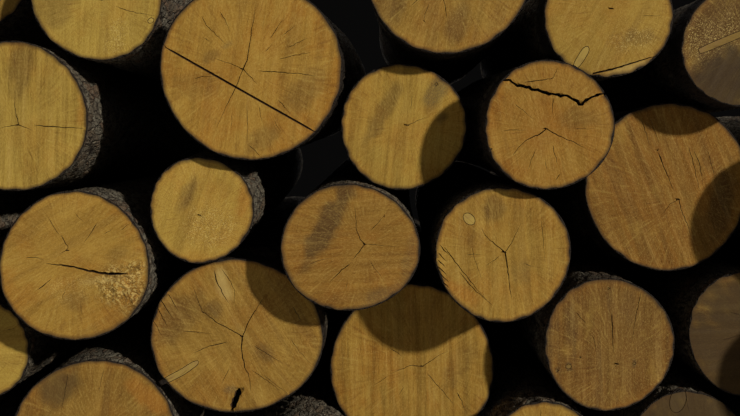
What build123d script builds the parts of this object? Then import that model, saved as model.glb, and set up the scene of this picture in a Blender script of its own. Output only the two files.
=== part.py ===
from build123d import *
import os
from math import cos, pi, radians, sin

import numpy as np

# A stack of sawn round logs lying side by side and on top of one another.
# Every log is one solid. All logs run along Y, and their seen sawn ends face -Y.
# Z is up, the floor is Z = 0, X = 0 and Y = 0 are the middle of the whole stack.

# what every log has in common, in mm and degrees
LOG_LENGTH = 2000
BOW = 8
LOBE = 1.5
GOLDEN_TURN = 137.5
SAW_SLANT = 1.6
SAW_RUN_IN = 20

# how the logs lie on one another
BARK_GAP = 0.3
MOST_LEAN = 60

# how finely two logs are felt around when one is laid on the other
SAW_MARGIN = 6
DIRECTIONS = np.radians(np.arange(0, 360, 2.5))
RAYS = np.stack([np.cos(DIRECTIONS), np.sin(DIRECTIONS)], axis=1)
GAP_ERROR = 0.02
SLIDES = 30
LONGEST_SLIDE = 60
FLATTEST_POCKET = 0.05
NEIGHBOURS = 7
LIFTS = [0, 60, 150, 300]
LEAN_TRIES = 10
LEAST_GAIN = 0.3

# how many points a log's outline passes through
OUTLINE_POINTS = 18

# saw kerf across the end of log_4c
KERF_LENGTH = 266
KERF_WIDTH = 6
KERF_DEPTH = 70
KERF_MIDDLE = (-16, -30)
KERF_TURN = -29.5

# crooked open split across the end of log_4e
SPLIT_WIDTH = 4
SPLIT_DEPTH = 90
SPLIT_LINE = [(-71, 70), (-46, 61), (-20, 53), (5, 47), (28, 44), (50, 31), (68, 44), (82, 48)]

# slot beside a grown-over branch at the foot of log_2d
SLOT_LENGTH = 34
SLOT_WIDTH = 11
SLOT_DEPTH = 60
SLOT_MIDDLE = (-4, -103)
SLOT_TURN = 72


class Log:
    """One log: seen end at (x, z), wide by high, with a far end that may swell and lean.

    Its middle is pushed aside by the bow, and it runs straight from there to both ends.
    """

    def __init__(self, name, x, z, wide, high, proud=0, swell=0, seen=True):
        self.name = name
        self.place = np.array([x, z], dtype=float)
        self.end = self.place.copy()
        self.lean = np.zeros(2)
        self.radius = (wide + high) / 4
        self.oval = (wide - high) / 4
        self.swell = swell
        self.seen = seen
        self.turn = 0.0
        self.front = -LOG_LENGTH / 2 - proud
        self.back = self.front + LOG_LENGTH
        self.sections = np.array([self.front, self.front + LOG_LENGTH / 2, self.back])

    def centre(self, y):
        share = (y - self.front) / LOG_LENGTH
        bulge = BOW * (1 - abs(2 * share - 1))
        side = np.array([cos(self.turn), sin(self.turn)])
        return self.end + np.outer(share, self.lean) + np.outer(bulge, side)

    def reach(self, y, angles):
        share = (y - self.front) / LOG_LENGTH
        round_part = (self.radius + self.swell * share / 2)[:, None]
        return round_part + self.oval * np.cos(2 * angles) + LOBE * np.cos(3 * (angles - self.turn))

    def outline(self, y):
        angles = np.arange(OUTLINE_POINTS) * 2 * pi / OUTLINE_POINTS
        out = self.reach(np.array([y]), angles)[0]
        along = -2 * self.oval * np.sin(2 * angles) - 3 * LOBE * np.sin(3 * (angles - self.turn))
        x = out * np.cos(angles) - along * np.sin(angles)
        z = out * np.sin(angles) + along * np.cos(angles)
        return list(zip(x.tolist(), z.tolist()))


def gap_to_log(log, other):
    """Smallest free distance between two logs, and the direction it is felt in."""
    first = max(log.front, other.front) - SAW_MARGIN
    last = min(log.back, other.back) + SAW_MARGIN
    y = np.clip(np.concatenate([log.sections, other.sections]), first, last)
    apart = (log.centre(y) - other.centre(y)) @ RAYS.T
    free = apart - other.reach(y, DIRECTIONS) - log.reach(y, DIRECTIONS + pi)
    nearest = free.max(axis=1).argmin()
    ray = free[nearest].argmax()
    return free[nearest, ray], RAYS[ray]


def gap_to_floor(log):
    """Height of the log's lowest place above the floor."""
    low = log.centre(log.sections)[:, 1] - log.reach(log.sections, np.array([-pi / 2]))[:, 0]
    return low.min()


def settle(log, left, right, start):
    """Slide the log until it touches both logs; tell if it lies still between them."""
    log.end = start.copy()
    for _ in range(SLIDES):
        gap_left, ray_left = gap_to_log(log, left)
        gap_right, ray_right = gap_to_log(log, right)
        missing = np.array([BARK_GAP - gap_left, BARK_GAP - gap_right])
        cross = ray_left[0] * ray_right[1] - ray_left[1] * ray_right[0]
        if abs(cross) < FLATTEST_POCKET:
            return False
        if abs(missing).max() < GAP_ERROR:
            return -ray_right[0] / cross >= 0 and ray_left[0] / cross >= 0
        step = np.linalg.solve(np.array([ray_left, ray_right]), missing)
        log.end = log.end + step * min(1, LONGEST_SLIDE / np.hypot(step[0], step[1]))
    return False


def is_free(log, laid):
    """Tell if the log runs into nothing."""
    limit = BARK_GAP - 2 * GAP_ERROR
    return gap_to_floor(log) > limit and all(gap_to_log(log, other)[0] > limit for other in laid)


def lay_on_floor(log, laid):
    """Lower the log to the floor and roll it clear of the ones laid before it."""
    log.end[1] += BARK_GAP - gap_to_floor(log)
    for other in laid:
        missing = BARK_GAP - gap_to_log(log, other)[0]
        while missing > GAP_ERROR:
            log.end[0] += missing
            missing = BARK_GAP - gap_to_log(log, other)[0]


def find_pockets(log, laid, start):
    """List the places where the log lies still on two others, reached from one start."""
    near = sorted(laid, key=lambda other: gap_to_log(log, other)[0])[:NEIGHBOURS]
    pockets = []
    for number, left in enumerate(near):
        for right in near[number + 1:]:
            if settle(log, left, right, start) and is_free(log, laid):
                pockets.append((np.hypot(*(log.end - log.place)), number, left, right, log.end))
    return pockets


def lay_in_pocket(log, laid):
    """Rest the log in the pocket nearest to its place, let down from higher up where it must be."""
    for lift in LIFTS:
        log.end = log.place + np.array([0, lift])
        pockets = find_pockets(log, laid, log.end)
        if pockets:
            break
    _, _, left, right, log.end = min(pockets, key=lambda pocket: pocket[:2])
    if log.seen:
        lean_to_place(log, left, right, laid)


def lean_to_place(log, left, right, laid):
    """Lean the far end so that the seen end comes as near to its place as the pocket lets it.

    A try that takes it no closer is taken back, and the next one leans half as far.
    """
    share = 1
    for _ in range(LEAN_TRIES):
        kept_end = log.end
        kept_lean = log.lean
        wanted = log.lean + share * (log.end - log.place)
        log.lean = wanted * min(1, MOST_LEAN / max(np.hypot(*wanted), 1))
        closer = settle(log, left, right, kept_end) and is_free(log, laid)
        gain = np.hypot(*(kept_end - log.place)) - np.hypot(*(log.end - log.place))
        if not closer or gain < LEAST_GAIN:
            log.end = kept_end
            log.lean = kept_lean
            share = share / 2


# the logs, layer by layer from the floor up, each layer in the order it was laid:
# name, place of the seen end across and up, width, height, how far it stands out of the front,
# and how much thicker it is at the far end
BOTTOM = [
    Log("log_1a", -1270, 125, 250, 250),
    Log("log_1b", -1005, 100, 200, 200),
    Log("log_1c", -760, 90, 180, 180),
    Log("log_1d", -448, 132, 270, 264, proud=-20),
    Log("log_1e", -106, 89, 183, 173, proud=60),
    Log("log_1f", 280, 98, 196, 196),
    Log("log_1g", 527, 104, 206, 206, proud=-60),
    Log("log_1h", 750, 105, 210, 210, proud=120),
    Log("log_1i", 980, 115, 230, 230),
]
SECOND = [
    Log("log_2a", -1110, 300, 230, 230, seen=False),
    Log("log_2b", -870, 285, 200, 200, seen=False),
    Log("log_2c", -647, 275, 172, 166, proud=-60, swell=16),
    Log("log_2e", 65, 226, 279, 283, proud=-135),
    Log("log_2d", -217, 303, 281, 252, proud=-20, swell=30),
    Log("log_2f", 386, 291, 210, 216, proud=-10),
    Log("log_2g", 622, 303, 194, 208, proud=-60),
    Log("log_2h", 850, 290, 230, 230, proud=150, seen=False),
]
THIRD = [
    Log("log_3a", -965, 475, 200, 200, seen=False),
    Log("log_3b", -750, 450, 220, 220, seen=False),
    Log("log_3c", -469, 421, 240, 238, proud=30, swell=12),
    Log("log_3e", -34, 451, 219, 200, proud=65),
    Log("log_3d", -267, 506, 167, 171, proud=5, swell=50),
    Log("log_3f", 209, 442, 214, 214, proud=45, swell=18),
    Log("log_3g", 493, 543, 272, 280, proud=-90, swell=20),
    Log("log_3h", 760, 520, 250, 250, proud=60, seen=False),
]
FOURTH = [
    Log("log_4a", -850, 665, 270, 270, seen=False),
    Log("log_4b", -564, 658, 232, 238, proud=20, swell=36),
    Log("log_4e", 273, 645, 201, 201, proud=80),
    Log("log_4d", 54, 642, 206, 206, proud=-50, swell=6),
    Log("log_4c", -186, 731, 286, 280, proud=45, swell=30),
]
TOP = [
    Log("log_5a", -653, 900, 186, 186, proud=-100, swell=40),
    Log("log_5b", -434, 852, 210, 210, swell=24),
    Log("log_5e", 588, 771, 195, 195, proud=20, swell=36),
    Log("log_5d", 374, 817, 204, 204, proud=20, swell=20),
    Log("log_5c", 116, 884, 261, 261, proud=25, swell=44),
]


def stack_up():
    """Lay all logs, each bowed to its own side, and give them back in the order laid."""
    laid = []
    for layer in [BOTTOM, SECOND, THIRD, FOURTH, TOP]:
        for log in layer:
            log.turn = radians(GOLDEN_TURN * len(laid))
            if layer is BOTTOM:
                lay_on_floor(log, laid)
            else:
                lay_in_pocket(log, laid)
            laid.append(log)
    return laid


def section_plane(log, y, slant):
    """Plane across the trunk at y, turned by the slant towards the log's own side."""
    middle = log.centre(np.array([y]))[0]
    tilt = sin(radians(slant))
    normal = (tilt * cos(log.turn), -cos(radians(slant)), tilt * sin(log.turn))
    across = (cos(radians(slant)), tilt * cos(log.turn), 0)
    return Plane(origin=(middle[0], y, middle[1]), x_dir=across, z_dir=normal)


def end_plane(log):
    """Plane on the seen end with its origin at the pith, X across and Y up."""
    return Plane(origin=(log.end[0], log.front, log.end[1]), x_dir=(1, 0, 0), z_dir=(0, -1, 0))


def cut_kerf(log):
    with BuildSketch(end_plane(log).offset(SAW_RUN_IN)) as mouth:
        with Locations(Location((*KERF_MIDDLE, 0), (0, 0, KERF_TURN))):
            Ellipse(KERF_LENGTH / 2, KERF_WIDTH / 2)
    extrude(mouth.sketch, amount=-SAW_RUN_IN - KERF_DEPTH, mode=Mode.SUBTRACT)


def cut_split(log):
    lower = [(x, y - SPLIT_WIDTH) for x, y in SPLIT_LINE[1:-1]]
    with BuildSketch(end_plane(log).offset(SAW_RUN_IN)) as mouth:
        with BuildLine():
            Polyline(*SPLIT_LINE, *reversed(lower), close=True)
        make_face()
    extrude(mouth.sketch, amount=-SAW_RUN_IN - SPLIT_DEPTH, mode=Mode.SUBTRACT)


def cut_slot(log):
    with BuildSketch(end_plane(log).offset(SAW_RUN_IN)) as mouth:
        with Locations(SLOT_MIDDLE):
            SlotOverall(SLOT_LENGTH, SLOT_WIDTH, rotation=SLOT_TURN)
    extrude(mouth.sketch, amount=-SAW_RUN_IN - SLOT_DEPTH, mode=Mode.SUBTRACT)


END_CUTS = {"log_4c": cut_kerf, "log_4e": cut_split, "log_2d": cut_slot}


def make_log(log):
    """Loft the trunk from one slanting saw cut to the other, and add what its seen end shows."""
    with BuildPart() as trunk:
        for y, slant in zip(log.sections, [SAW_SLANT, 0, -SAW_SLANT]):
            with BuildSketch(section_plane(log, y, slant)):
                with BuildLine():
                    Spline(*log.outline(y), periodic=True)
                make_face()
        loft(ruled=True)
        if log.name in END_CUTS:
            END_CUTS[log.name](log)
    return trunk.part


def middle_of_foot(pieces):
    """Point on the floor under the middle of all pieces."""
    boxes = [piece.bounding_box() for piece in pieces]
    low = [min(getattr(box.min, axis) for box in boxes) for axis in "XYZ"]
    high = [max(getattr(box.max, axis) for box in boxes) for axis in "XYZ"]
    return Vector((low[0] + high[0]) / 2, (low[1] + high[1]) / 2, low[2])


os.makedirs("parts", exist_ok=True)
logs = stack_up()
trunks = [make_log(log) for log in logs]
to_origin = Location(-middle_of_foot(trunks))
for log, trunk in zip(logs, trunks):
    placed = trunk.moved(to_origin)
    placed.label = log.name
    export_step(placed, f"parts/{log.name}.step")
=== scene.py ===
"""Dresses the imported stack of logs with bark, sawn ends and their marks, a floor and soft light."""

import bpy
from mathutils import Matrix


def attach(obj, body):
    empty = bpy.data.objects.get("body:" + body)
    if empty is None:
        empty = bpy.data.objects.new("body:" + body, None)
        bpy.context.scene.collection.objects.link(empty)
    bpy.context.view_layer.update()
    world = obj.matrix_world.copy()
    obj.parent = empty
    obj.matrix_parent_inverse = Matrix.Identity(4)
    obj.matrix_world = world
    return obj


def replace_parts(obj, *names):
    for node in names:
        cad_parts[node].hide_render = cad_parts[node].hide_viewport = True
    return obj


bl_info = {
    "name": "Stack of logs",
    "version": (1, 0, 0),
    "blender": (4, 5, 0),
    "location": "3D View > Sidebar > Logs",
    "description": "Gives each log of the stack its bark and its sawn ends",
    "category": "Object",
}

import math

import bpy
import bmesh
import numpy as np
from mathutils import Vector
from mathutils.geometry import delaunay_2d_cdt

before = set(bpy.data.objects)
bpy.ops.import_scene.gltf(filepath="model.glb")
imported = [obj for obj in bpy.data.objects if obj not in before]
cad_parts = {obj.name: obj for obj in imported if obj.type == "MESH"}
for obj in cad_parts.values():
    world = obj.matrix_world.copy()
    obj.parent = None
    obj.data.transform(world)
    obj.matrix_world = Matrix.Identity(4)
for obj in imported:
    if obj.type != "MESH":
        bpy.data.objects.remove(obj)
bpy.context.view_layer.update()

# The camera stands 2.4 m in front of most ends, right of the middle, tipped down by some degrees
CAMERA_PLACE = (0.1451, -3.3928, 0.6368)
CAMERA_TIP = 2.977
SENSOR_WIDTH = 36.0
# Focal length as a share of the picture's width
FOCAL_SHARE = 1500 / 740

# Marks of the sawn ends that show. A place is given as shares of the end's half width and half
# height from its middle, and half lengths of knots, stains and painted shadows as shares of its
# mean radius.
#   pith    where the rays run out from
#   saw     turn of the saw's streaks in degrees
#   tone    how orange, browned, streaked and speckled the wood is, nought to one
#   checks  width in mm, corners of the line
#   painted_bark_shade  painted shade on the bark just behind the end: how dark, nought to one
#   cuts    kerf, split or slot: width and depth in mm, unevenness, corners in mm from the middle
#   knots   place, two half lengths, turn of the longer one in degrees
#   spikes  knots that were cut along: half width, corners of the middle line
#   step    corners of the line at which a ledge was left
#   stains_and_shade  kind, place, two half lengths, turn of the longer one in degrees, strength;
#                     some of the dark and brown patches are painted shadows
END_MARKS = {
    "log_1d": {
        "pith": (0.02, 0.05), "saw": 84, "tone": (0.6, 0.82, 0.4, 0.2),
        "checks": [
            (0.9, [(-0.31, 0.83), (-0.35, 0.59), (-0.4, 0.32)]),
            (0.8, [(0.12, 0.88), (0.06, 0.59)]),
        ],
        "stains_and_shade": [
            ("dark", (-0.42, 0.67), 0.24, 0.31, 50, 0.7),
            ("amber", (0.64, 0.55), 0.36, 0.14, -40, 0.8),
        ],
    },
    "log_1e": {
        "pith": (0, 0.05), "saw": 84, "tone": (0.4, 0.6, 0.4, 0.1),
        "checks": [],
    },
    "log_1f": {
        "pith": (-0.05, 0.04), "saw": 88, "tone": (0.4, 0.5, 0.4, 0.1),
        "checks": [(0.9, [(-0.05, 0.87), (-0.04, 0.6)])],
    },
    "log_1g": {
        "pith": (0.1, 0.03), "saw": 98, "tone": (0.4, 1, 0.3, 0.2),
        "checks": [(0.9, [(-0.06, 0.97), (0, 0.65)])],
        "knots": [((-0.18, 0.85), 0.129, 0.21, 75)],
        # This end lies in shade: the dark patch over the whole end is painted shadow, and its full
        # brown tone is partly painted shadow too
        "stains_and_shade": [("dark", (0.39, -0.13), 2.16, 2.16, 0, 0.96)],
    },
    "log_2c": {
        "pith": (0.08, 0), "saw": 2, "tone": (0, 0.08, 0.3, 0.1),
        "checks": [(1, [(0.58, 0.38), (0.67, 0.4)])],
    },
    "log_2d": {
        "pith": (0.06, -0.01), "saw": 122, "tone": (0.55, 0.58, 0.5, 0.3),
        "checks": [
            (2, [(0.06, -0.01), (0.05, -0.12), (0.05, -0.21), (0.09, -0.42), (0.14, -0.54),
                 (0.15, -0.72)]),
            (1.7, [(0.06, -0.01), (0.13, 0.17), (0.2, 0.32), (0.32, 0.51)]),
            (1.6, [(0.06, -0.01), (-0.07, 0.08), (-0.23, 0.17), (-0.4, 0.32), (-0.46, 0.49),
                 (-0.52, 0.69)]),
            (1.6, [(-0.11, -0.08), (-0.32, -0.13), (-0.52, -0.23)]),
            (1.1, [(-0.62, 0.06), (-0.47, 0.05), (-0.29, 0.03)]),
            (1.1, [(0.18, -0.12), (0.34, -0.23), (0.53, -0.36)]),
            (0.8, [(0.61, -0.03), (0.72, -0.21), (0.85, -0.37)]),
            (1, [(0.16, -0.44), (0.34, -0.58), (0.52, -0.74)]),
            (0.9, [(-0.09, -0.41), (-0.18, -0.62)]), (0.7, [(0.3, -0.51), (0.62, -0.79)]),
            (2.2, [(-0.26, 0.85), (-0.23, 0.69), (-0.14, 0.5), (-0.09, 0.42)]),
            (1.2, [(-0.18, 0.87), (-0.09, 0.73), (-0.03, 0.59), (-0.03, 0.42)]),
            (1.6, [(-0.94, 0.42), (-0.8, 0.12)]), (1.6, [(-0.9, 0.51), (-0.74, 0.23)]),
            (1.3, [(-0.99, 0.26), (-0.87, 0)]), (1.3, [(-0.8, 0.56), (-0.67, 0.31)]),
            (1.3, [(0.64, 0.38), (0.74, 0.18)]),
        ],
        "painted_bark_shade": 0.9,
        "cuts": [(10, 60, 0.5, [(2, -88), (-1, -97), (-9, -119)])],
        "spikes": [(0.039, [(-0.9, -0.62), (-0.64, -0.47), (-0.45, -0.33)])],
        "stains_and_shade": [
            ("brown", (-0.69, 0.21), 0.27, 0.41, 50, 0.5),
            ("brown", (-0.28, 0.33), 0.17, 0.12, 30, 0.5),
            ("pale", (-0.15, 0.64), 0.1, 0.24, -68, 1), ("grey", (-0.09, -0.71), 0.1, 0.05, 0, 0.8),
            ("brown", (0.3, -0.21), 0.17, 0.1, -35, 0.4),
        ],
    },
    "log_2e": {
        "pith": (0.13, 0), "saw": 91, "tone": (0.6, 0.25, 0.9, 0.2),
        "checks": [
            (1.2, [(0.13, 0), (-0.02, 0.01), (-0.15, -0.04), (-0.27, -0.1)]),
            (1.1, [(0.13, 0), (0.29, 0.11), (0.44, 0.19)]),
            (1.3, [(0.18, -0.08), (0.35, -0.27), (0.51, -0.46)]),
            (1.1, [(-0.27, 0.22), (-0.11, 0.12)]), (1, [(-0.09, -0.25), (-0.16, -0.35)]),
            (0.8, [(-0.29, -0.12), (-0.46, -0.23)]),
            (1.6, [(0.55, -0.31), (0.6, -0.41), (0.65, -0.53)]),
        ],
        "painted_bark_shade": 0.95,
        "stains_and_shade": [("brown", (0.57, 0), 0.17, 0.36, 60, 0.35)],
    },
    "log_2f": {
        "pith": (0.13, -0.29), "saw": 91, "tone": (0.9, 1, 0.6, 0.3),
        "checks": [
            (1.8, [(0.03, 0.49), (0.04, 0.19), (0.06, -0.12)]),
            (1.1, [(0.48, 0.79), (0.4, 0.45), (0.34, 0.04)]), (1, [(-0.52, 0.49), (-0.35, 0.3)]),
            (0.9, [(-0.26, 0.15), (-0.2, -0.12)]), (0.6, [(0.13, -0.29), (0.05, -0.37)]),
        ],
        "painted_bark_shade": 0.75,
        "knots": [
            ((-0.63, -0.33), 0.039, 0.045, 0), ((-0.45, -0.19), 0.018, 0.018, 0),
            ((0.38, -0.28), 0.03, 0.021, 0), ((-0.8, -0.39), 0.023, 0.018, 0),
            ((-0.02, 0.84), 0.021, 0.024, 0),
        ],
        "stains_and_shade": [
            ("grey", (0.29, 0.6), 0.12, 0.39, 88, 0.2),
            ("brown", (0.17, 0.07), 1.45, 1.45, 0, 0.17),
        ],
    },
    "log_2g": {
        "pith": (0.15, -0.03), "saw": 2, "tone": (0.6, 1, 0.3, 0.2),
        "checks": [
            (0.8, [(-0.42, -0.1), (-0.25, -0.05), (-0.08, -0.02)]),
            (0.8, [(-0.32, 0.35), (-0.08, 0.29)]),
        ],
        "painted_bark_shade": 0.6,
        # This end lies in shade: the dark patch over most of the end is painted shadow, and its full
        # brown tone is partly painted shadow too
        "stains_and_shade": [("dark", (0.42, -0.37), 2.1, 2.1, 0, 0.94)],
    },
    "log_3c": {
        "pith": (-0.08, 0.2), "saw": 30, "tone": (0.55, 0.27, 0.35, 0.5),
        "checks": [
            (4.6, [(0.7, -0.11), (0.58, -0.11), (0.45, -0.11), (0.2, -0.07), (-0.05, -0.01),
                 (-0.21, 0.01), (-0.38, 0.03)]),
            (1.2, [(-0.64, 0.11), (-0.51, 0.11), (-0.39, 0.07)]),
            (1.1, [(-0.34, 0.63), (-0.24, 0.47), (-0.18, 0.39)]),
            (1.6, [(-0.17, 0.41), (-0.12, 0.29), (-0.07, 0.23), (-0.2, 0.15)]),
            (1.2, [(0.3, 0.56), (0.22, 0.43), (0.13, 0.31)]),
            (1.8, [(-0.49, -0.33), (-0.39, -0.25), (-0.3, -0.17)]),
            (1, [(0.08, -0.49), (0.09, -0.65)]), (0.8, [(0.39, 0.41), (0.51, 0.49)]),
            (1, [(0.61, 0.47), (0.75, 0.57)]), (0.8, [(0.01, 0.71), (0.13, 0.57)]),
            (0.8, [(-0.16, -0.44), (-0.12, -0.31)]),
        ],
        "stains_and_shade": [
            ("torn", (0.63, -0.31), 0.42, 0.32, -30, 1), ("torn", (0.79, -0.04), 0.19, 0.12, 10, 1),
            ("pale", (0.39, -0.19), 0.34, 0.05, 8, 0.45),
            ("brown", (0.58, 0.16), 0.16, 0.12, 20, 0.4),
            ("brown", (0.01, -0.49), 0.19, 0.16, 0, 0.4),
            ("rough", (-0.05, -0.31), 0.4, 0.19, 10, 0.5),
        ],
    },
    "log_3d": {
        "pith": (-0.04, -0.09), "saw": 72, "tone": (0.24, 0, 0.3, 0.7),
        "checks": [(0.6, [(-0.04, -0.09), (0.06, -0.17)])],
        "stains_and_shade": [
            # The brown patch at the upper left is painted soft shadow
            ("brown", (-0.28, 0.3), 0.15, 0.41, 70, 0.7),
            ("rough", (0.17, -0.3), 0.56, 0.45, 0, 0.8),
            ("amber", (0.81, 0.22), 0.15, 0.56, 80, 0.8),
        ],
    },
    "log_3e": {
        "pith": (0.21, 0.05), "saw": 4, "tone": (0.85, 0.68, 0.5, 0.3),
        "checks": [
            (1.2, [(0.21, 0.05), (0.14, 0.12), (0.09, 0.28), (0.06, 0.67)]),
            (1.6, [(0.21, 0.05), (0.11, -0.08), (0.03, -0.2)]),
            (1.6, [(0, -0.25), (-0.13, -0.36), (-0.3, -0.55)]),
            (0.7, [(0.21, 0.05), (0.46, 0.03), (0.7, 0)]),
            (1, [(0.3, 0.27), (0.39, 0.38), (0.47, 0.48)]),
            (0.9, [(0.27, -0.2), (0.37, -0.36), (0.46, -0.48)]),
            (0.8, [(-0.59, -0.27), (-0.43, -0.2), (-0.26, -0.17)]),
            (0.6, [(-0.04, -0.52), (-0.06, -0.67)]),
        ],
        "stains_and_shade": [
            # The brown and the dark band on the left are painted soft shadow
            ("brown", (-0.31, 0.39), 0.19, 0.84, 61, 0.8),
            ("dark", (-0.31, 0.39), 0.16, 0.72, 61, 0.06),
            ("grey", (0.59, -0.77), 0.75, 0.21, 25, 0.6),
            ("grey", (0.86, -0.17), 0.13, 0.51, 80, 0.45),
        ],
    },
    "log_3f": {
        "pith": (0.03, 0.04), "saw": 92, "tone": (0.5, 0.3, 0.65, 0.3),
        "checks": [
            (1.6, [(0.03, 0.04), (-0.15, 0.18), (-0.28, 0.31), (-0.32, 0.41)]),
            (1.1, [(0.03, 0.04), (0.13, 0.18), (0.26, 0.46)]),
            (2, [(0.03, 0.04), (0.06, -0.12), (0.09, -0.41), (0.13, -0.65)]),
            (0.9, [(-0.04, -0.01), (-0.25, -0.16)]),
            (0.8, [(-0.54, 0), (-0.41, 0.01), (-0.28, 0.01)]),
            (0.8, [(0.29, -0.12), (0.49, -0.19)]), (2, [(-0.93, 0.15), (-0.79, -0.01)]),
            (2.1, [(-0.96, 0.04), (-0.82, -0.1)]), (2.2, [(-0.97, -0.06), (-0.84, -0.19)]),
            (2.2, [(-0.97, -0.16), (-0.82, -0.31)]), (2.1, [(-0.94, -0.26), (-0.79, -0.41)]),
            (2, [(-0.9, -0.38), (-0.78, -0.5)]),
            (1.7, [(-0.87, 0.13), (-0.69, -0.12), (-0.49, -0.38), (-0.19, -0.72)]),
            (1.6, [(-0.65, -0.24), (-0.41, -0.53), (-0.13, -0.76)]),
            (0.7, [(-0.46, 0.13), (-0.4, -0.12), (-0.28, -0.43)]),
            (0.7, [(0.56, 0.5), (0.62, -0.12)]),
        ],
        "painted_bark_shade": 0.5,
        "knots": [((-0.5, 0.53), 0.074, 0.103, -45)],
        "stains_and_shade": [
            ("brown", (-0.15, 0.69), 0.18, 0.26, 80, 0.6),
            ("amber", (-0.6, -0.56), 0.35, 0.12, -35, 0.7),
            ("brown", (-0.4, 0.21), 0.21, 0.15, 80, 0.3),
            ("grey", (0.28, -0.26), 0.18, 0.18, 0, 0.3),
        ],
    },
    "log_3g": {
        "pith": (0.16, -0.14), "saw": 112, "tone": (1, 0.66, 0.8, 0.6),
        "checks": [
            (1.1, [(-0.32, 0.81), (-0.26, 0.65), (-0.21, 0.5)]),
            (2, [(-0.11, 0.43), (-0.04, 0.26), (0.05, 0.06), (0.1, -0.05)]),
            (1.2, [(0.26, 0.49), (0.32, 0.32), (0.41, -0.04)]),
            (1.1, [(0.33, 0.44), (0.41, 0.26), (0.46, -0.01)]),
            (1.3, [(0.16, -0.14), (0.18, -0.25), (0.26, -0.42), (0.32, -0.61)]),
            (1, [(0.16, -0.14), (0.05, -0.2), (-0.05, -0.33)]),
            (0.9, [(0.5, 0.44), (0.57, 0.2), (0.6, 0.01)]), (0.8, [(-0.21, 0.82), (-0.09, 0.51)]),
        ],
        "painted_bark_shade": 0.95,
        "stains_and_shade": [
            ("brown", (0.67, -0.21), 0.17, 0.53, 80, 0.5),
            ("amber", (0.46, -0.1), 0.1, 0.36, 75, 0.5),
            ("brown", (0.01, -0.04), 1.33, 1.33, 0, 0.08),
        ],
    },
    "log_4b": {
        "pith": (0.06, -0.12), "saw": 88, "tone": (0.08, 0.2, 0.8, 0.1),
        "checks": [
            (1.3, [(0.06, -0.12), (0.01, 0.07), (0, 0.21)]),
            (1.1, [(0.06, -0.12), (-0.08, -0.13), (-0.22, -0.17)]),
            (1.1, [(0.06, -0.12), (0.18, -0.16), (0.25, -0.19)]),
            (1.8, [(0.27, -0.12), (0.49, -0.14), (0.63, -0.15), (0.79, -0.15), (0.96, -0.17)]),
            (0.7, [(0.19, -0.44), (0.25, -0.6)]), (0.7, [(-0.08, 0.47), (-0.07, 0.33)]),
        ],
        "stains_and_shade": [
            # The brown patch at the top is painted soft shadow
            ("brown", (0.11, 0.69), 0.19, 0.46, 80, 0.6),
            ("amber", (0.96, 0.23), 0.08, 0.46, 75, 0.6),
        ],
    },
    "log_4c": {
        "pith": (-0.09, 0.02), "saw": 82, "tone": (0.6, 0.2, 0.45, 0.3),
        "checks": [
            (1.7, [(-0.09, 0.02), (-0.04, 0.13), (-0.01, 0.33), (0.02, 0.53), (0.05, 0.72)]),
            (1.1, [(-0.09, 0.02), (-0.25, 0.09), (-0.41, 0.14)]),
            (1.3, [(-0.09, 0.02), (-0.16, -0.16), (-0.27, -0.39), (-0.38, -0.63)]),
            (1.3, [(-0.09, 0.02), (-0.01, -0.07), (0.08, -0.16)]),
            (1.7, [(0.07, 0), (0.29, -0.01), (0.53, -0.03), (0.72, -0.06)]),
            (1.1, [(0.4, 0.26), (0.62, 0.37)]), (1.2, [(0.21, 0.36), (0.28, 0.47), (0.36, 0.59)]),
            (1.1, [(0.3, 0.13), (0.5, 0.18), (0.67, 0.21)]), (1.1, [(0.29, -0.32), (0.43, -0.48)]),
            (1, [(-0.05, -0.38), (-0.04, -0.58), (-0.05, -0.79)]),
            (1, [(-0.62, -0.09), (-0.51, -0.06), (-0.41, -0.06)]),
            (1.1, [(-0.54, 0.61), (-0.49, 0.51), (-0.37, 0.39), (-0.27, 0.29)]),
            (1.1, [(-0.34, 0.66), (-0.28, 0.56), (-0.23, 0.43)]),
            (1.1, [(-0.04, -0.82), (0.05, -0.9), (0.12, -0.98)]),
            (0.9, [(-0.52, 0.37), (-0.43, 0.31)]), (1, [(0.15, 0.21), (0.23, 0.3)]),
            (0.9, [(0.34, 0.39), (0.49, 0.51)]), (0.8, [(0.08, -0.38), (0.12, -0.58)]),
            (0.8, [(0.24, -0.54), (0.32, -0.67)]), (0.8, [(-0.21, -0.47), (-0.22, -0.64)]),
        ],
        "painted_bark_shade": 0.95,
        "cuts": [(3.5, 6, 0.05, [(-131.8, 35.5), (99.8, -95.5)])],
        "stains_and_shade": [
            ("grey", (-0.27, 0.29), 0.07, 0.03, 40, 0.6),
            ("brown", (-0.43, 0.17), 0.13, 0.07, 30, 0.5),
            # The brown patches at the lower right and at the bottom are painted soft shadows
            ("brown", (0.59, -0.24), 0.37, 0.18, 50, 0.5),
            ("brown", (0.12, -0.76), 0.26, 0.13, 30, 0.5),
            ("brown", (-0.61, -0.16), 0.29, 0.18, 0, 0.3),
        ],
    },
    "log_4d": {
        "pith": (0.06, 0.03), "saw": 84, "tone": (0.3, 0, 0.6, 0.3),
        "checks": [
            (0.9, [(0.06, 0.03), (0.21, 0.1), (0.37, 0.16)]), (0.7, [(0.13, 0.52), (0.1, 0.24)]),
        ],
        "knots": [((0.51, 0.68), 0.029, 0.024, 0)],
        "stains_and_shade": [
            # The brown band on the left is painted soft shadow
            ("brown", (-0.3, 0.3), 0.14, 0.7, 60, 0.75),
            ("grey", (0.51, 0.56), 0.17, 0.35, 70, 0.95),
            ("dark", (0.6, 0.14), 0.11, 0.08, 30, 0.6),
        ],
    },
    "log_4e": {
        "pith": (-0.05, -0.06), "saw": 100, "tone": (0.8, 0.46, 0.35, 0.3),
        "checks": [
            (1.7, [(-0.05, -0.06), (-0.15, -0.14), (-0.35, -0.22), (-0.48, -0.35), (-0.58, -0.48)]),
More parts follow.
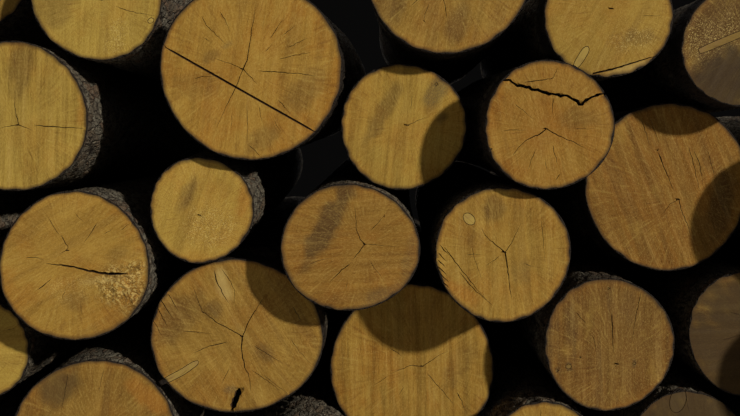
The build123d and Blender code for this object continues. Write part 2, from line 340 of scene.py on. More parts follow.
            (1.6, [(-0.05, -0.06), (0.08, -0.14), (0.35, -0.26), (0.57, -0.37)]),
            (1.1, [(0.05, 0.42), (0.03, 0.14)]),
            (1, [(-0.72, -0.09), (-0.54, -0.08), (-0.35, -0.08)]),
            (0.8, [(-0.54, 0.32), (-0.42, 0.22), (-0.25, 0.09)]),
            (1.1, [(-0.22, -0.38), (-0.28, -0.54), (-0.34, -0.71)]),
            (1.1, [(0.05, -0.31), (0.08, -0.48), (0.12, -0.62)]),
            (0.8, [(-0.06, -0.54), (-0.03, -0.72)]), (1.6, [(0.17, -0.75), (0.08, -0.86)]),
            (0.7, [(0.38, -0.06), (0.69, -0.06)]),
            (1.6, [(-0.4, 0.65), (-0.17, 0.68), (0.05, 0.71), (0.08, 0.8), (0.14, 0.92)]),
        ],
        "painted_bark_shade": 0.9,
        "cuts": [
            (4.4, 40, 1.3, [(-71, 70), (-46, 61), (-20, 53), (5, 47), (28, 44), (50, 31),
                 (68, 44), (82, 48)]),
        ],
        "knots": [((-0.91, -0.37), 0.028, 0.022, 0)],
        "stains_and_shade": [
            ("amber", (0.82, -0.38), 0.25, 0.31, 0, 0.3),
            ("brown", (0.43, 0.11), 0.31, 0.18, 0, 0.35),
        ],
    },
    "log_5a": {
        "pith": (0.05, -0.05), "saw": 80, "tone": (0.3, 0.6, 0.4, 0.3),
        "checks": [],
    },
    "log_5b": {
        "pith": (0.08, -0.08), "saw": 88, "tone": (0, 0, 0.35, 0.4),
        "checks": [(1.1, [(0.29, -0.17), (0.38, -0.21), (0.59, -0.27), (0.89, -0.32)])],
        "knots": [((0.82, -0.39), 0.053, 0.038, 30)],
        "stains_and_shade": [
            ("brown", (-0.64, -0.05), 0.39, 0.61, 70, 0.6),
            ("rough", (0.29, -0.65), 0.18, 0.33, 70, 0.8),
        ],
    },
    "log_5c": {
        "pith": (-0.04, -0.01), "saw": 75, "tone": (0.5, 0.57, 0.35, 0.4),
        "checks": [
            (1.3, [(-0.08, -0.25), (-0.07, -0.33), (-0.04, -0.45), (-0.02, -0.59)]),
            (1.1, [(-0.34, -0.25), (-0.37, -0.33), (-0.46, -0.43)]),
            (0.9, [(-0.24, -0.4), (-0.28, -0.49), (-0.3, -0.59)]),
        ],
        "painted_bark_shade": 0.9,
        "stains_and_shade": [
            ("brown", (0.1, -0.63), 0.27, 0.17, 70, 0.5),
            ("brown", (-0.71, -0.45), 0.19, 0.22, 0, 0.4),
        ],
    },
    "log_5d": {
        "pith": (0.06, 0.06), "saw": 62, "tone": (0.35, 0.28, 0.3, 0.45),
        "checks": [(0.8, [(0.52, -0.05), (0.83, -0.05)])],
        "painted_bark_shade": 0.9,
        "spikes": [(0.059, [(-0.5, -0.83), (-0.31, -0.52)])],
        "step": [
            (-0.23, -0.94), (-0.11, -0.91), (0.12, -0.86), (0.39, -0.77), (0.62, -0.7),
            (0.78, -0.66),
        ],
        "stains_and_shade": [
            ("rough", (0.39, -0.41), 0.41, 0.22, 10, 0.9),
            ("brown", (0.52, -0.38), 0.28, 0.14, 10, 0.4),
            ("pale", (0.33, -0.86), 0.44, 0.09, 18, 0.7),
        ],
    },
    "log_5e": {
        "pith": (0.1, 0.05), "saw": 60, "tone": (0.1, 1, 0.4, 0.8),
        "checks": [],
        "painted_bark_shade": 0.95,
        "spikes": [(0.056, [(-0.71, -0.1), (-0.23, 0.1), (0.1, 0.24)])],
        "stains_and_shade": [
            # The dark patch over the lower part of the end is painted shadow
            ("dark", (-0.23, -0.56), 0.81, 0.55, 20, 1),
            ("brown", (-0.35, 0.24), 0.65, 0.97, 90, 0.5),
            ("rough", (-0.6, 0.08), 0.42, 0.81, 10, 0.9),
        ],
    },
}

MM = 0.001
TURN = 2 * math.pi
# Material slots of a trunk
BARK, WOOD, GAP, KNOT = range(4)

# Radians round a log at which its outlines are read, for logs whose end shows and for plain ones
SEEN_TURNS = np.arange(128) * TURN / 128
PLAIN_TURNS = np.arange(96) * TURN / 96
# Rows of bark points along the log, and the shares of its length of four more near its far end
SEEN_ROWS, PLAIN_ROWS = 72, 52
FAR_ROWS = [0.955, 0.975, 0.988, 0.996]
ROW_POWER = 1.55
# Length in metres over which only a side triangle of a CAD log reaches, and half a band round an
# outline in which its corners lie
SIDE_SPAN, OUTLINE_BAND = 0.5, 0.3

# Rough surfaces of the bark: fewest and most waves round the log, and least and most to the metre
FURROW_WAVES = (5, 15), (1.0, 5.0)
CRACK_WAVES = (3, 10), (9.0, 22.0)
FINE_WAVES = (16, 46), (8.0, 40.0), 36
FURROW_WIDTH, FURROW_POWER, CRACK_WIDTH, CRACK_DEPTH = 0.42, 1.5, 0.22, 0.55
PLATE_DEPTH, FINE_DEPTH = 0.22, 0.17
# Share of the length in which the relief rises from nothing, and in which the rim is dark
CALM_SHARE, RIM_SHARE = 0.006, 0.0035
# Share of the length behind an end over which the painted shade on the bark fades, from one
# and a half
PAINTED_SHADE_SHARE, PAINTED_SHADE_START = 0.10, 1.5

# Ranges from which the marks of a plain end are drawn: shares of its half sizes, widths in mm
PLAIN = {
    "pith": (-0.14, 0.14), "bend": (-0.25, 0.25), "reach": (0.35, 0.85), "width": (1.2, 2.4),
    "near": (0.3, 0.5), "loose width": (0.8, 1.5), "length": (0.12, 0.35),
    "orange": (0.1, 0.6), "browned": (0.1, 0.5), "streaked": (0.3, 0.8), "speckled": (0.1, 0.5),
    "stain": (-0.5, 0.5), "strength": (0.2, 0.6),
}
# A plain end's check bends at this share of its length, and the back end's seed lies so far on
KNEE_SHARE, BACK_SEED = 0.45, 50

# The bark's rim round an end: its waves, how much its width varies and between which factors, and
# how ragged its edge is. Waves along the log don't count where a line is read at one station only.
RIM_WAVES, RIM_VARIES, RIM_RANGE = (7, 30), 0.28, (0.45, 1.7)
RAGGED_WAVES, RAGGED_DEPTH = (12, 44), 1.1 * MM
ONE_STATION = (0, 1)
# Slow swells of the sawn face: height, waves to the metre, and the share at the face's edge over
# which they end. Fibres of torn wood: height in mm, waves to the metre and how many waves
SWELL_HEIGHT, SWELL_WAVES, SWELL_EDGE = 0.5 * MM, (4, 14), 0.15
TORN_HEIGHT, TORN_WAVES, TORN_COUNT = 1.3, (60, 160), 30
# Loose points of the sawn face: step and least number of their rings, how the rings close up, and
# beyond which share every ring keeps one point of how many
RING_STEP, FEWEST_RINGS, RING_POWER = 6.2 * MM, 10, 0.94
THINNED = ((0.7, 1), (0.34, 2), (0.14, 4), (0, 8))
# Loose points keep this far from a groove, and a triangle this far inside one is a wall of it
GROOVE_CLEAR, WALL_INSIDE = 1.5 * MM, 0.01 * MM
# Points nearer than these are one: in the triangulation, and where the ends meet the bark
SAME_POINT, WELD_REACH = 2e-6, 4e-6

# A check's width rises over its first share and varies between two factors
CHECK_RISE, CHECK_VARIES, LEAST_HALF = 0.16, (0.75, 1.15), 0.00004
CHECK_WANDER, CHECK_STEP, AT_PITH = 0.5 * MM, 5 * MM, 4 * MM
# A check is as many times as deep as it is wide, up to a depth in metres
CHECK_DEPTH, DEEPEST_CHECK = 9, 0.03
# The small crack in the pith: its corners, width, step and depth
PITH_STAR = np.array([[-2.6, 0.4], [2.6, -0.3]]) * MM
STAR_WIDTH, STAR_STEP, STAR_DEPTH = 2.6 * MM, 1.2 * MM, 8 * MM
# A cut: step between its points, how blunt its ends are and how narrow they get, and how much its
# width varies
CUT_STEP, CUT_BLUNT, CUT_TIP, CUT_VARIES = 4.5 * MM, 24, 0.4, 0.3
# A spike knot: step between its points, its width at the ends and what swells in the middle, and
# from which share on it is how narrow
SPIKE_STEP, SPIKE_END, SPIKE_SWELL, SPIKE_TIP = 6 * MM, 0.72, 0.28, (0.93, 0.45)
# The groove round a knot: half width, depth, wander and step
KNOT_GROOVE, KNOT_DEPTH, KNOT_WANDER, KNOT_STEP = 0.5 * MM, 2 * MM, 0.05 * MM, 4 * MM
# A knot with a smaller half length than this is dead and brown, a little beyond its outline too
DEAD_KNOT, DEAD_REACH = 0.05, 1.05
# The line of a ledge: width, depth and least half width
STEP_WIDTH, STEP_DEPTH, STEP_LEAST = 3.6 * MM, 10 * MM, 0.3 * MM

# Columns of the strengths of stains and painted shade: the first four go into one attribute, the
# others into a second
STAIN_AND_SHADE_KINDS = ("brown", "grey", "dark", "amber", "rough", "torn", "pale", "none")
BROWN, DARK, AMBER, TORN = (STAIN_AND_SHADE_KINDS.index(kind) for kind in ("brown", "dark", "amber", "torn"))
# Stains and painted shadows alike are full up to one share of their half lengths and gone at
# another
PATCH_GONE, PATCH_FADE, PATCH_WOBBLE, WOBBLE_WAVES = 1.15, 0.6, 0.10, (10, 45)
AMBER_REACH, AMBER_STRENGTH, AMBER_WAVES, DEAD_BROWN = 5 * MM, 0.75, (1, 6), 0.75
# The rim's stain reaches over its inner edge by this share
RIM_OVER = 0.002


def heading(turn):
    """The unit direction of a turn in radians."""
    return np.array([math.cos(turn), math.sin(turn)])


def waves(around, along, seed, turns, cycles, count=26):
    """A rough surface from cosine waves: each has a whole number of waves round the log, so that it
    closes, a number of waves to the metre along it and a phase of its own. Their sum is divided to
    a spread of about one."""
    rng = np.random.default_rng(seed)
    total = np.zeros(np.broadcast(around, along).shape)
    for _ in range(count):
        wave = rng.integers(turns[0], turns[1] + 1) * around + TURN * rng.uniform(*cycles) * along
        total += np.cos(wave + rng.uniform(0, TURN))
    return total / math.sqrt(count / 2)


def flat_waves(points, seed, cycles, count=18):
    """The same over the flat end: each wave has its own direction, waves to the metre and phase."""
    rng = np.random.default_rng(seed)
    total = np.zeros(len(points))
    for _ in range(count):
        way, pitch = heading(rng.uniform(0, TURN)), TURN * rng.uniform(*cycles)
        total += np.cos(pitch * (points @ way) + rng.uniform(0, TURN))
    return total / math.sqrt(count / 2)


def log_outlines(name, turns):
    """The front, middle and back outline of a CAD log: its middle, and radius and station over the
    angle. A side triangle spans half the log's length, so its corners lie on the outlines. Each
    outline is read at the wanted angles by a straight line between its two nearest corners."""
    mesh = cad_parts[name].data
    points = np.empty(len(mesh.vertices) * 3)
    mesh.vertices.foreach_get("co", points)
    corners = np.empty(len(mesh.loops), dtype=np.int64)
    mesh.loops.foreach_get("vertex_index", corners)
    faces = points.reshape(-1, 3)[corners].reshape(-1, 3, 3)
    side = faces[np.ptp(faces[:, :, 1], axis=1) > SIDE_SPAN].reshape(-1, 3)
    first, last = side[:, 1].min(), side[:, 1].max()
    outlines = []
    for place in (first, (first + last) / 2, last):
        ring = side[np.abs(side[:, 1] - place) < OUTLINE_BAND]
        middle = (ring.min(0) + ring.max(0))[[0, 2]] / 2
        arm = ring[:, [0, 2]] - middle
        angle = np.arctan2(arm[:, 1], arm[:, 0])
        radius = np.interp(turns, angle, np.hypot(arm[:, 0], arm[:, 1]), period=TURN)
        station = np.interp(turns, angle, ring[:, 1], period=TURN)
        outlines.append((middle, radius, station))
    return outlines


def bark_relief(turns, along, seed, bark):
    """How deep the bark lies under its plates' tops, nought to one, over the angle and the length.
    Long furrows run where one slow rough surface is near nought, cross cracks where a second one
    is, and a fine third one breaks up the plates."""
    slow = waves(turns, along, seed, *FURROW_WAVES)
    cross = waves(turns, along, seed + 1, *CRACK_WAVES)
    fine = waves(turns, along, seed + 2, *FINE_WAVES)
    furrow = np.clip(1 - np.abs(slow) / FURROW_WIDTH, 0, 1) ** FURROW_POWER
    crack = np.clip(1 - np.abs(cross) / CRACK_WIDTH, 0, 1) * CRACK_DEPTH
    deepest = np.maximum(furrow, crack) * bark.furrow_share
    return np.clip(deepest + PLATE_DEPTH + FINE_DEPTH * fine, 0, 1)


def stations(rows):
    """Shares of the length at which rows of bark points lie: close together at both ends, as a
    power of the count."""
    return np.unique(np.concatenate([np.linspace(0, 1, rows) ** ROW_POWER, FAR_ROWS]))


def plain_marks(seed):
    """Marks of an end that doesn't show: a pith near the middle, checks that run out from it, a few
    loose ones, a tone and a brown stain."""
    rng = np.random.default_rng(seed)
    pith = rng.uniform(*PLAIN["pith"], 2)
    checks = []
    for turn in np.linspace(0, TURN, rng.integers(4, 7), endpoint=False) + rng.uniform(0, 6):
        bend = turn + rng.uniform(*PLAIN["bend"])
        reach = rng.uniform(*PLAIN["reach"])
        knee, tip = pith + heading(turn) * reach * KNEE_SHARE, pith + reach * heading(bend)
        checks.append((rng.uniform(*PLAIN["width"]), [tuple(pith), tuple(knee), tuple(tip)]))
    for _ in range(rng.integers(3, 7)):
        way, near = heading(rng.uniform(0, TURN)), rng.uniform(*PLAIN["near"])
        width, far = rng.uniform(*PLAIN["loose width"]), near + rng.uniform(*PLAIN["length"])
        checks.append((width, [tuple(pith + way * near), tuple(pith + way * far)]))
    tone = [rng.uniform(*PLAIN[part]) for part in ("orange", "browned", "streaked", "speckled")]
    stain_place, stain_turn = tuple(rng.uniform(*PLAIN["stain"], 2)), rng.uniform(0, 180)
    stain = ("brown", stain_place, 0.5, 0.25, stain_turn, rng.uniform(*PLAIN["strength"]))
    saw = rng.uniform(0, 180)
    return {"pith": tuple(pith), "saw": saw, "tone": tone, "checks": checks, "stains_and_shade": [stain]}


def line_points(corners, step):
    """Points along a line of straight runs, about a step apart, and how far along it each is,
    nought to one."""
    corners = np.array(corners, float)
    run = np.concatenate([[0], np.cumsum(np.hypot(*np.diff(corners, axis=0).T))])
    share = np.linspace(0, 1, max(4, int(run[-1] / step) + 1))
    return np.stack([np.interp(share * run[-1], run, corners[:, k]) for k in (0, 1)], 1), share


def sideways(points):
    """The unit direction square to a line at each of its points, from its neighbours on both
    sides."""
    way = np.gradient(points, axis=0)
    way /= np.hypot(way[:, 0], way[:, 1])[:, None]
    return np.stack([-way[:, 1], way[:, 0]], 1)


def check_line(corners, width, seed, from_pith, wander, step=CHECK_STEP):
    """A check's middle line and half width. The line wanders sideways by a seeded amount that is
    nought at its ends. The half width is full at the pith, or rises over the first sixth, and
    falls as the root of the length left."""
    rng = np.random.default_rng(seed)
    points, share = line_points(corners, step)
    aside = rng.normal(0, wander, len(share)) * np.sin(math.pi * share)
    points = points + sideways(points) * aside[:, None]
    rise = np.ones(len(share)) if from_pith else np.clip(share / CHECK_RISE, 0.02, 1) ** 0.7
    fall = np.clip(1 - share, 0.0008, 1) ** 0.5
    half = width / 2 * rise * fall * rng.uniform(*CHECK_VARIES, len(share))
    return points, np.maximum(half, LEAST_HALF)


def oval(place, long, short, turn):
    """A closed ring of points round an oval whose long axis has the given turn in degrees."""
    angle, arc = math.radians(turn), np.linspace(0, TURN, 20, endpoint=False)
    along, across = long * np.cos(arc), short * np.sin(arc)
    x = along * math.cos(angle) - across * math.sin(angle)
    return place + np.stack([x, along * math.sin(angle) + across * math.cos(angle)], 1)


class SawnEnd:
    """One sawn end of a log as a height over a flat outline, with its checks cut in as real
    grooves. The sign is 1 for the front end and -1 for the back one. Each of its rough surfaces is
    drawn from a seed a few above the end's own."""

    def __init__(self, outline, marks, seed, sign, wood, bark):
        self.middle, self.radius, self.station = outline
        self.turns = np.arange(len(self.radius)) * TURN / len(self.radius)
        self.marks, self.seed, self.sign, self.wood = marks, seed, sign, wood
        way = np.stack([np.cos(self.turns), np.sin(self.turns)], 1)
        self.outer = way * self.radius[:, None]
        self.half = np.ptp(self.outer, axis=0) / 2
        self.mean = self.radius.mean()
        rough = waves(self.turns, 0, seed + 5, RIM_WAVES, ONE_STATION)
        self.rim = bark.rim * (1 + RIM_VARIES * rough).clip(*RIM_RANGE)
        self.edge = way * (self.radius - self.rim)[:, None]
        ragged = waves(self.turns, 0, seed + 6, RAGGED_WAVES, ONE_STATION)
        self.ragged = RAGGED_DEPTH * np.abs(ragged)
        table = np.column_stack([self.outer, np.ones(len(self.turns))])
        self.plane = np.linalg.lstsq(table, self.station, rcond=None)[0]
        self.pith = self.at(marks["pith"])
        self.grooves, self.knots, self.dead = [], [], []
        self.lay_checks()
        self.lay_cuts()
        self.lay_knots()
        if "step" in marks:
            line = self.at(marks["step"])
            points, half = check_line(line, STEP_WIDTH, seed * 3, True, CHECK_WANDER)
            self.grooves.append((points, half.clip(STEP_LEAST), STEP_DEPTH))

    def at(self, shares):
        """Places given as shares of the half width and half height, in metres from the middle."""
        return np.array(shares, float) * self.half

    def lay_checks(self):
        """The checks and the small crack in the pith: middle lines, half widths and a depth."""
        for count, (width, corners) in enumerate(self.marks["checks"]):
            line = self.at(corners)
            from_pith = np.hypot(*(line[0] - self.pith)) < AT_PITH
            width = width * MM * self.wood.check_width
            check = check_line(line, width, self.seed * 31 + count, from_pith, CHECK_WANDER)
            self.grooves.append((*check, min(width * CHECK_DEPTH, DEEPEST_CHECK)))
        star = check_line(PITH_STAR + self.pith, STAR_WIDTH, self.seed, True, 0, STAR_STEP)
        self.grooves.append((*star, STAR_DEPTH))

    def lay_cuts(self):
        """Kerfs, splits and slots: a line moved sideways by a seeded unevenness, as wide all along
        and blunt at both ends."""
        for width, depth, rough, corners in self.marks.get("cuts", []):
            rng = np.random.default_rng(self.seed + 1)
            points, share = line_points(np.array(corners) * MM, CUT_STEP)
            points = points + sideways(points) * rng.normal(0, rough * MM, len(share))[:, None]
            half = width / 2 * MM * (1 - np.abs(2 * share - 1) ** CUT_BLUNT).clip(CUT_TIP)
            uneven = 1 + rng.uniform(-CUT_VARIES, CUT_VARIES, len(share)) * min(rough, 1)
            self.grooves.append((points, half * uneven, depth * MM))

    def lay_knots(self):
        """Outlines of the knots and the spike knots, and a fine groove round each."""
        for place, one, two, turn in self.marks.get("knots", []):
            long, short = max(one, two), min(one, two)
            self.knots.append(oval(self.at(place), long * self.mean, short * self.mean, turn))
            if long < DEAD_KNOT:
                self.dead.append((self.at(place), DEAD_REACH * long * self.mean))
        for half, corners in self.marks.get("spikes", []):
            points, share = line_points(self.at(corners), SPIKE_STEP)
            swell = SPIKE_END + SPIKE_SWELL * np.sin(math.pi * share) ** 0.5
            width = half * self.mean * swell * np.where(share > SPIKE_TIP[0], SPIKE_TIP[1], 1)
            side = sideways(points) * width[:, None]
            self.knots.append(np.concatenate([points + side, (points - side)[::-1]]))
        for number, knot in enumerate(self.knots):
            closed, seed = np.concatenate([knot, knot[:1]]), self.seed * 7 + number
            points, _ = check_line(closed, 2 * KNOT_GROOVE, seed, True, KNOT_WANDER, KNOT_STEP)
            self.grooves.append((points, np.full(len(points), KNOT_GROOVE), KNOT_DEPTH))

    def share_out(self, points):
        """How far out a point lies, one on the outline, where the wood's edge is there, and the
        angle."""
        angle = np.arctan2(points[:, 1], points[:, 0])
        radius = np.interp(angle, self.turns, self.radius, period=TURN)
        rim = np.interp(angle, self.turns, self.rim, period=TURN)
        return np.hypot(points[:, 0], points[:, 1]) / radius, 1 - rim / radius, angle

    def groove_depth(self, points):
        """Depth of the deepest groove at each point. It falls straight from a groove's middle line
        to nothing at its half width, which itself runs straight between the line's points. Also
        tells how far each point lies outside the nearest groove."""
        depth, nearest = np.zeros(len(points)), np.full(len(points), 1.0)
        for line, half, deep in self.grooves:
            start, step = line[:-1], np.diff(line, axis=0)
            length = (step ** 2).sum(1).clip(1e-12)
            arm = points[:, None] - start[None]
            share = ((arm * step).sum(2) / length).clip(0, 1)
            away = np.hypot(*np.moveaxis(arm - share[:, :, None] * step, 2, 0))
            width = half[:-1] + share * np.diff(half)
            near = (1 - away / width).clip(0) * deep * (width / half.max()) ** 0.5
            depth = np.maximum(depth, near.max(1))
            nearest = np.minimum(nearest, (away - width).min(1))
        return depth, nearest

    def stain_and_shade_colours(self, points):
        """Strengths of the stains and painted shadows at each point: each is an oval patch that fades
        out towards its edge, which a rough surface makes uneven. Amber also lies along the wood's
        edge, the rim is dark, and dead knots are brown."""
        stains_and_shade = np.zeros((len(points), len(STAIN_AND_SHADE_KINDS)))
        wobble = PATCH_WOBBLE * flat_waves(points, self.seed + 11, WOBBLE_WAVES)
        for kind, place, one, two, turn, strength in self.marks.get("stains_and_shade", []):
            way, arm = heading(math.radians(turn)), points - self.at(place)
            along = (arm @ way) / (max(one, two) * self.mean)
            across = (arm @ np.array([-way[1], way[0]])) / (min(one, two) * self.mean)
            away = np.hypot(along, across) + wobble
            part = np.clip((PATCH_GONE - away) / PATCH_FADE, 0, 1)
            column = STAIN_AND_SHADE_KINDS.index(kind)
            patch = strength * part * part * (3 - 2 * part)
            stains_and_shade[:, column] = np.maximum(stains_and_shade[:, column], patch)
        out, edge, angle = self.share_out(points)
        near_edge = np.exp(-((edge - out) * self.mean).clip(0) / AMBER_REACH)
        uneven = waves(angle, 0, self.seed + 17, AMBER_WAVES, ONE_STATION)
        patchy = (0.5 + 0.5 * uneven).clip(0, 1)
        stains_and_shade[:, AMBER] = np.maximum(stains_and_shade[:, AMBER], AMBER_STRENGTH * near_edge * patchy)
        stains_and_shade[out > edge - RIM_OVER, DARK] = 1
        for place, reach in self.dead:
            stains_and_shade[np.hypot(*(points - place).T) < reach, BROWN] = DEAD_BROWN
        return stains_and_shade

    def height(self, points):
        """The end's station over the flat: the slanted plane of its outline, slow swells, a ragged
        set-back of the bark's rim, and chipped fibres where the wood is torn."""
        out, edge, angle = self.share_out(points)
        level = points @ self.plane[:2] + self.plane[2]
        calm = np.clip((1 - out) / SWELL_EDGE, 0, 1)
        swell = SWELL_HEIGHT * flat_waves(points, self.seed + 3, SWELL_WAVES) * calm
        rim = np.clip((out - edge) / (1 - edge), 0, 1)
        ragged = np.interp(angle, self.turns, self.ragged, period=TURN) * rim
        torn = self.stain_and_shade_colours(points)[:, TORN]
        fibres = flat_waves(points, self.seed + 9, TORN_WAVES, TORN_COUNT)
        chips = torn * TORN_HEIGHT * MM * fibres
        return level + self.sign * (swell + ragged + chips)

    def loose_points(self):
        """Points of the flat wood, on rings that shrink towards the pith, fewer on the small ones,
        and none near a groove."""
        rings = max(FEWEST_RINGS, int(self.mean / RING_STEP))
        loose = []
        for share in np.linspace(0, 1, rings + 1)[1:-1] ** RING_POWER:
            every = next(count for least, count in THINNED if share > least)
            loose.append((self.pith + share * (self.edge - self.pith))[::every])
        loose = np.concatenate(loose)
        return loose[self.groove_depth(loose)[1] > GROOVE_CLEAR]

    def lines(self):
        """The lines that the triangles keep to: the two closed rings of the rim, and both lips and
        the middle of every groove, as points and as pairs of their numbers."""
        count = len(self.turns)
        ring = np.arange(count)
        chains = [self.outer, self.edge]
        pairs = [np.stack([start + ring, start + (ring + 1) % count], 1) for start in (0, count)]
        total = 2 * count
        for line, half, _ in self.grooves:
            side = sideways(line) * half[:, None]
            step = np.arange(len(line) - 1)
            for chain in (line + side, line, line - side):
                chains.append(chain)
                pairs.append(total + np.stack([step, step + 1], 1))
                total += len(chain)
        return np.concatenate(chains), np.concatenate(pairs)

    def build(self):
        """Places, triangles, their material slots and flat places of the end, from a triangulation
        of its loose points that keeps to its lines."""
        chains, pairs = self.lines()
        coords = np.concatenate([chains, self.loose_points()])
        points, _, faces, *_ = delaunay_2d_cdt(coords.tolist(), pairs.tolist(), [], 1, SAME_POINT)
        points, faces = np.array(points), np.array(faces)
        middle = points[faces].mean(1)
        out, edge, _ = self.share_out(middle)
        kind = np.where(out > edge, BARK, WOOD)
        kind = np.where(self.in_knot(middle) & (kind == WOOD), KNOT, kind)
        kind = np.where(self.groove_depth(middle)[1] < -WALL_INSIDE, GAP, kind)
        station = self.height(points) + self.sign * self.groove_depth(points)[0]
        x, z = points[:, 0] + self.middle[0], points[:, 1] + self.middle[1]
        faces = faces if self.sign > 0 else faces[:, ::-1]
        return np.column_stack([x, station, z]), faces, kind, points

    def in_knot(self, points):
        """Which points lie inside a knot's outline, by the number of its edges that a level line
        from them crosses."""
        inside = np.zeros(len(points), bool)
        for knot in self.knots:
            one, two = knot, np.roll(knot, -1, axis=0)
            above = (one[None, :, 1] > points[:, None, 1]) != (two[None, :, 1] > points[:, None, 1])
            rise = two[:, 1] - one[:, 1]
            rise = np.where(np.abs(rise) < 1e-9, 1e-9, rise)
            share = (points[:, None, 1] - one[None, :, 1]) / rise
            cross = one[:, 0] + share * (two[:, 0] - one[:, 0])
            inside |= (above & (points[:, None, 0] < cross)).sum(1) % 2 == 1
        return inside


def saw_places(points, turn, seed):
    """Pattern places on an end: turned so that the saw's streaks run along the second one, and
    moved by a seeded amount so that no two ends share a pattern."""
    angle = math.radians(turn)
    rng = np.random.default_rng(seed)
    across = points @ np.array([math.sin(angle), -math.cos(angle)]) + rng.uniform(0, 40)
    along = points @ heading(angle) + rng.uniform(0, 40)
    return np.column_stack([across, along])


def bark_side(outlines, ends, turns, rows, seed, bark):
    """The bark's grid of points from end to end, its triangles, pattern places, and dark strengths
    for its furrows, its rim and the painted shade behind some ends. Along the log the outline runs
    straight from the front one to the middle one and on to the back one, less the relief, which
    rises from nothing at both ends."""
    front, halfway, back = outlines
    share = stations(rows)[:, None]
    first, second = np.clip(1 - 2 * share, 0, 1), np.clip(2 * share - 1, 0, 1)
    between = 1 - first - second
    middle, radius = (first * front[k] + between * halfway[k] + second * back[k] for k in (0, 1))
    tips = [end.height(end.outer) for end in ends]
    station = first * tips[0] + between * halfway[2] + second * tips[1]
    depth = bark_relief(turns[None], station, seed, bark)
    calm = np.minimum(share / CALM_SHARE, (1 - share) / CALM_SHARE).clip(0, 1)
    reach = radius - bark.relief * depth * calm
    x, z = middle[:, :1] + reach * np.cos(turns), middle[:, 1:] + reach * np.sin(turns)
    points = np.stack([x, station, z], 2).reshape(-1, 3)
    count = len(turns)
    row, column = np.meshgrid(np.arange(len(share) - 1), np.arange(count), indexing="ij")
    here, beside = row * count + column, row * count + (column + 1) % count
    quads = np.stack([here, here + count, beside + count, beside], 2).reshape(-1, 4)
    triangles = np.concatenate([quads[:, [0, 1, 2]], quads[:, [0, 2, 3]]])
    arc = np.broadcast_to(turns * radius.mean(), station.shape)
    places = np.column_stack([arc.ravel(), station.ravel()])
    # Painted shade: the bark just behind some seen ends is darkened as if in shadow, fading along the
    # log
    painted_bark_shade = ends[0].marks.get("painted_bark_shade", 0) * np.clip(PAINTED_SHADE_START - share / PAINTED_SHADE_SHARE, 0, 1)
    at_rim = (share < RIM_SHARE) | (share > 1 - RIM_SHARE)
    stains_and_shade = np.zeros((len(points), len(STAIN_AND_SHADE_KINDS)))
    stains_and_shade[:, DARK] = np.where(at_rim, 1, np.maximum(depth, painted_bark_shade)).ravel()
    return points, triangles, places, stains_and_shade


def fill_mesh(mesh, points, faces, kinds, maps, colours):
    """Puts points, triangles, material numbers, UV maps and colour attributes into a mesh."""
    mesh.from_pydata(points.tolist(), [], faces.tolist())
    mesh.polygons.foreach_set("material_index", kinds.astype(np.int32))
    for label, places in maps:
        layer = mesh.uv_layers.new(name=label)
        layer.data.foreach_set("uv", places[faces.ravel()].astype(np.float32).ravel())
    for label, values in colours:
        layer = mesh.attributes.new(label, "FLOAT_COLOR", "POINT")
        layer.data.foreach_set("color", values.astype(np.float32).ravel())


def make_log(name, bark, wood, materials):
    """One log: its bark grid from end to end, and its two sawn ends."""
    seed = 100 + sum(ord(letter) * (place + 3) for place, letter in enumerate(name)) * 7
    shows = name in END_MARKS
    turns, rows = (SEEN_TURNS, SEEN_ROWS) if shows else (PLAIN_TURNS, PLAIN_ROWS)
    marks = END_MARKS[name] if shows else plain_marks(seed)
    outlines, back_seed = log_outlines(name, turns), seed + BACK_SEED
    ends = [SawnEnd(outlines[0], marks, seed, 1, wood, bark),
            SawnEnd(outlines[2], plain_marks(back_seed), back_seed, -1, wood, bark)]
    side, triangles, places, dark = bark_side(outlines, ends, turns, rows, seed, bark)
    points, faces, kinds = [side], [triangles], [np.full(len(triangles), BARK)]
    pith, saw, stains_and_shade = [places], [places], [dark]
    tones = [np.tile(marks["tone"], (len(side), 1))]
    for number, end in enumerate(ends):
        place, triangles, kind, flat = end.build()
        faces.append(triangles + sum(len(part) for part in points))
        points.append(place)
        kinds.append(kind)
        pith.append(flat - end.pith)
        saw.append(saw_places(flat, end.marks["saw"], seed + number))
        stains_and_shade.append(end.stain_and_shade_colours(flat))
        tones.append(np.tile(end.marks["tone"], (len(place), 1)))
    points, faces, kinds = np.concatenate(points), np.concatenate(faces), np.concatenate(kinds)
    pith, saw = np.concatenate(pith), np.concatenate(saw)
    stains_and_shade, tones = np.concatenate(stains_and_shade), np.concatenate(tones)
    mesh = bpy.data.meshes.new(name + "_trunk")
    fill_mesh(mesh, points, faces, kinds, (("pith", pith), ("saw", saw)),
              (("stain", stains_and_shade[:, :4]), ("wear", stains_and_shade[:, 4:]), ("tone", tones)))
    for material in materials:
        mesh.materials.append(material)
    weld(mesh)
    mesh.polygons.foreach_set("use_smooth", face_slots(mesh) == BARK)
    trunk = bpy.data.objects.new(name + "_trunk", mesh)
    bpy.context.scene.collection.objects.link(trunk)
    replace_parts(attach(trunk, "root"), name)


def face_slots(mesh):
    """The material number of every face."""
    slots = np.empty(len(mesh.polygons), dtype=np.int32)
    mesh.polygons.foreach_get("material_index", slots)
    return slots


def weld(mesh):
    """Joins each end's outline to the bark's first and last row, whose points are the same."""
    work = bmesh.new()
    work.from_mesh(mesh)
    bmesh.ops.remove_doubles(work, verts=work.verts, dist=WELD_REACH)
    work.to_mesh(mesh)
    work.free()
    mesh.update()


def add(tree, kind, inputs=None, **settings):
    """One shader node. An input is a plain value or another node's output socket."""
    node = tree.nodes.new("ShaderNode" + kind)
    for label, value in settings.items():
        setattr(node, label, value)
    feed(tree, [(node.inputs[label], value) for label, value in (inputs or {}).items()])
    return node


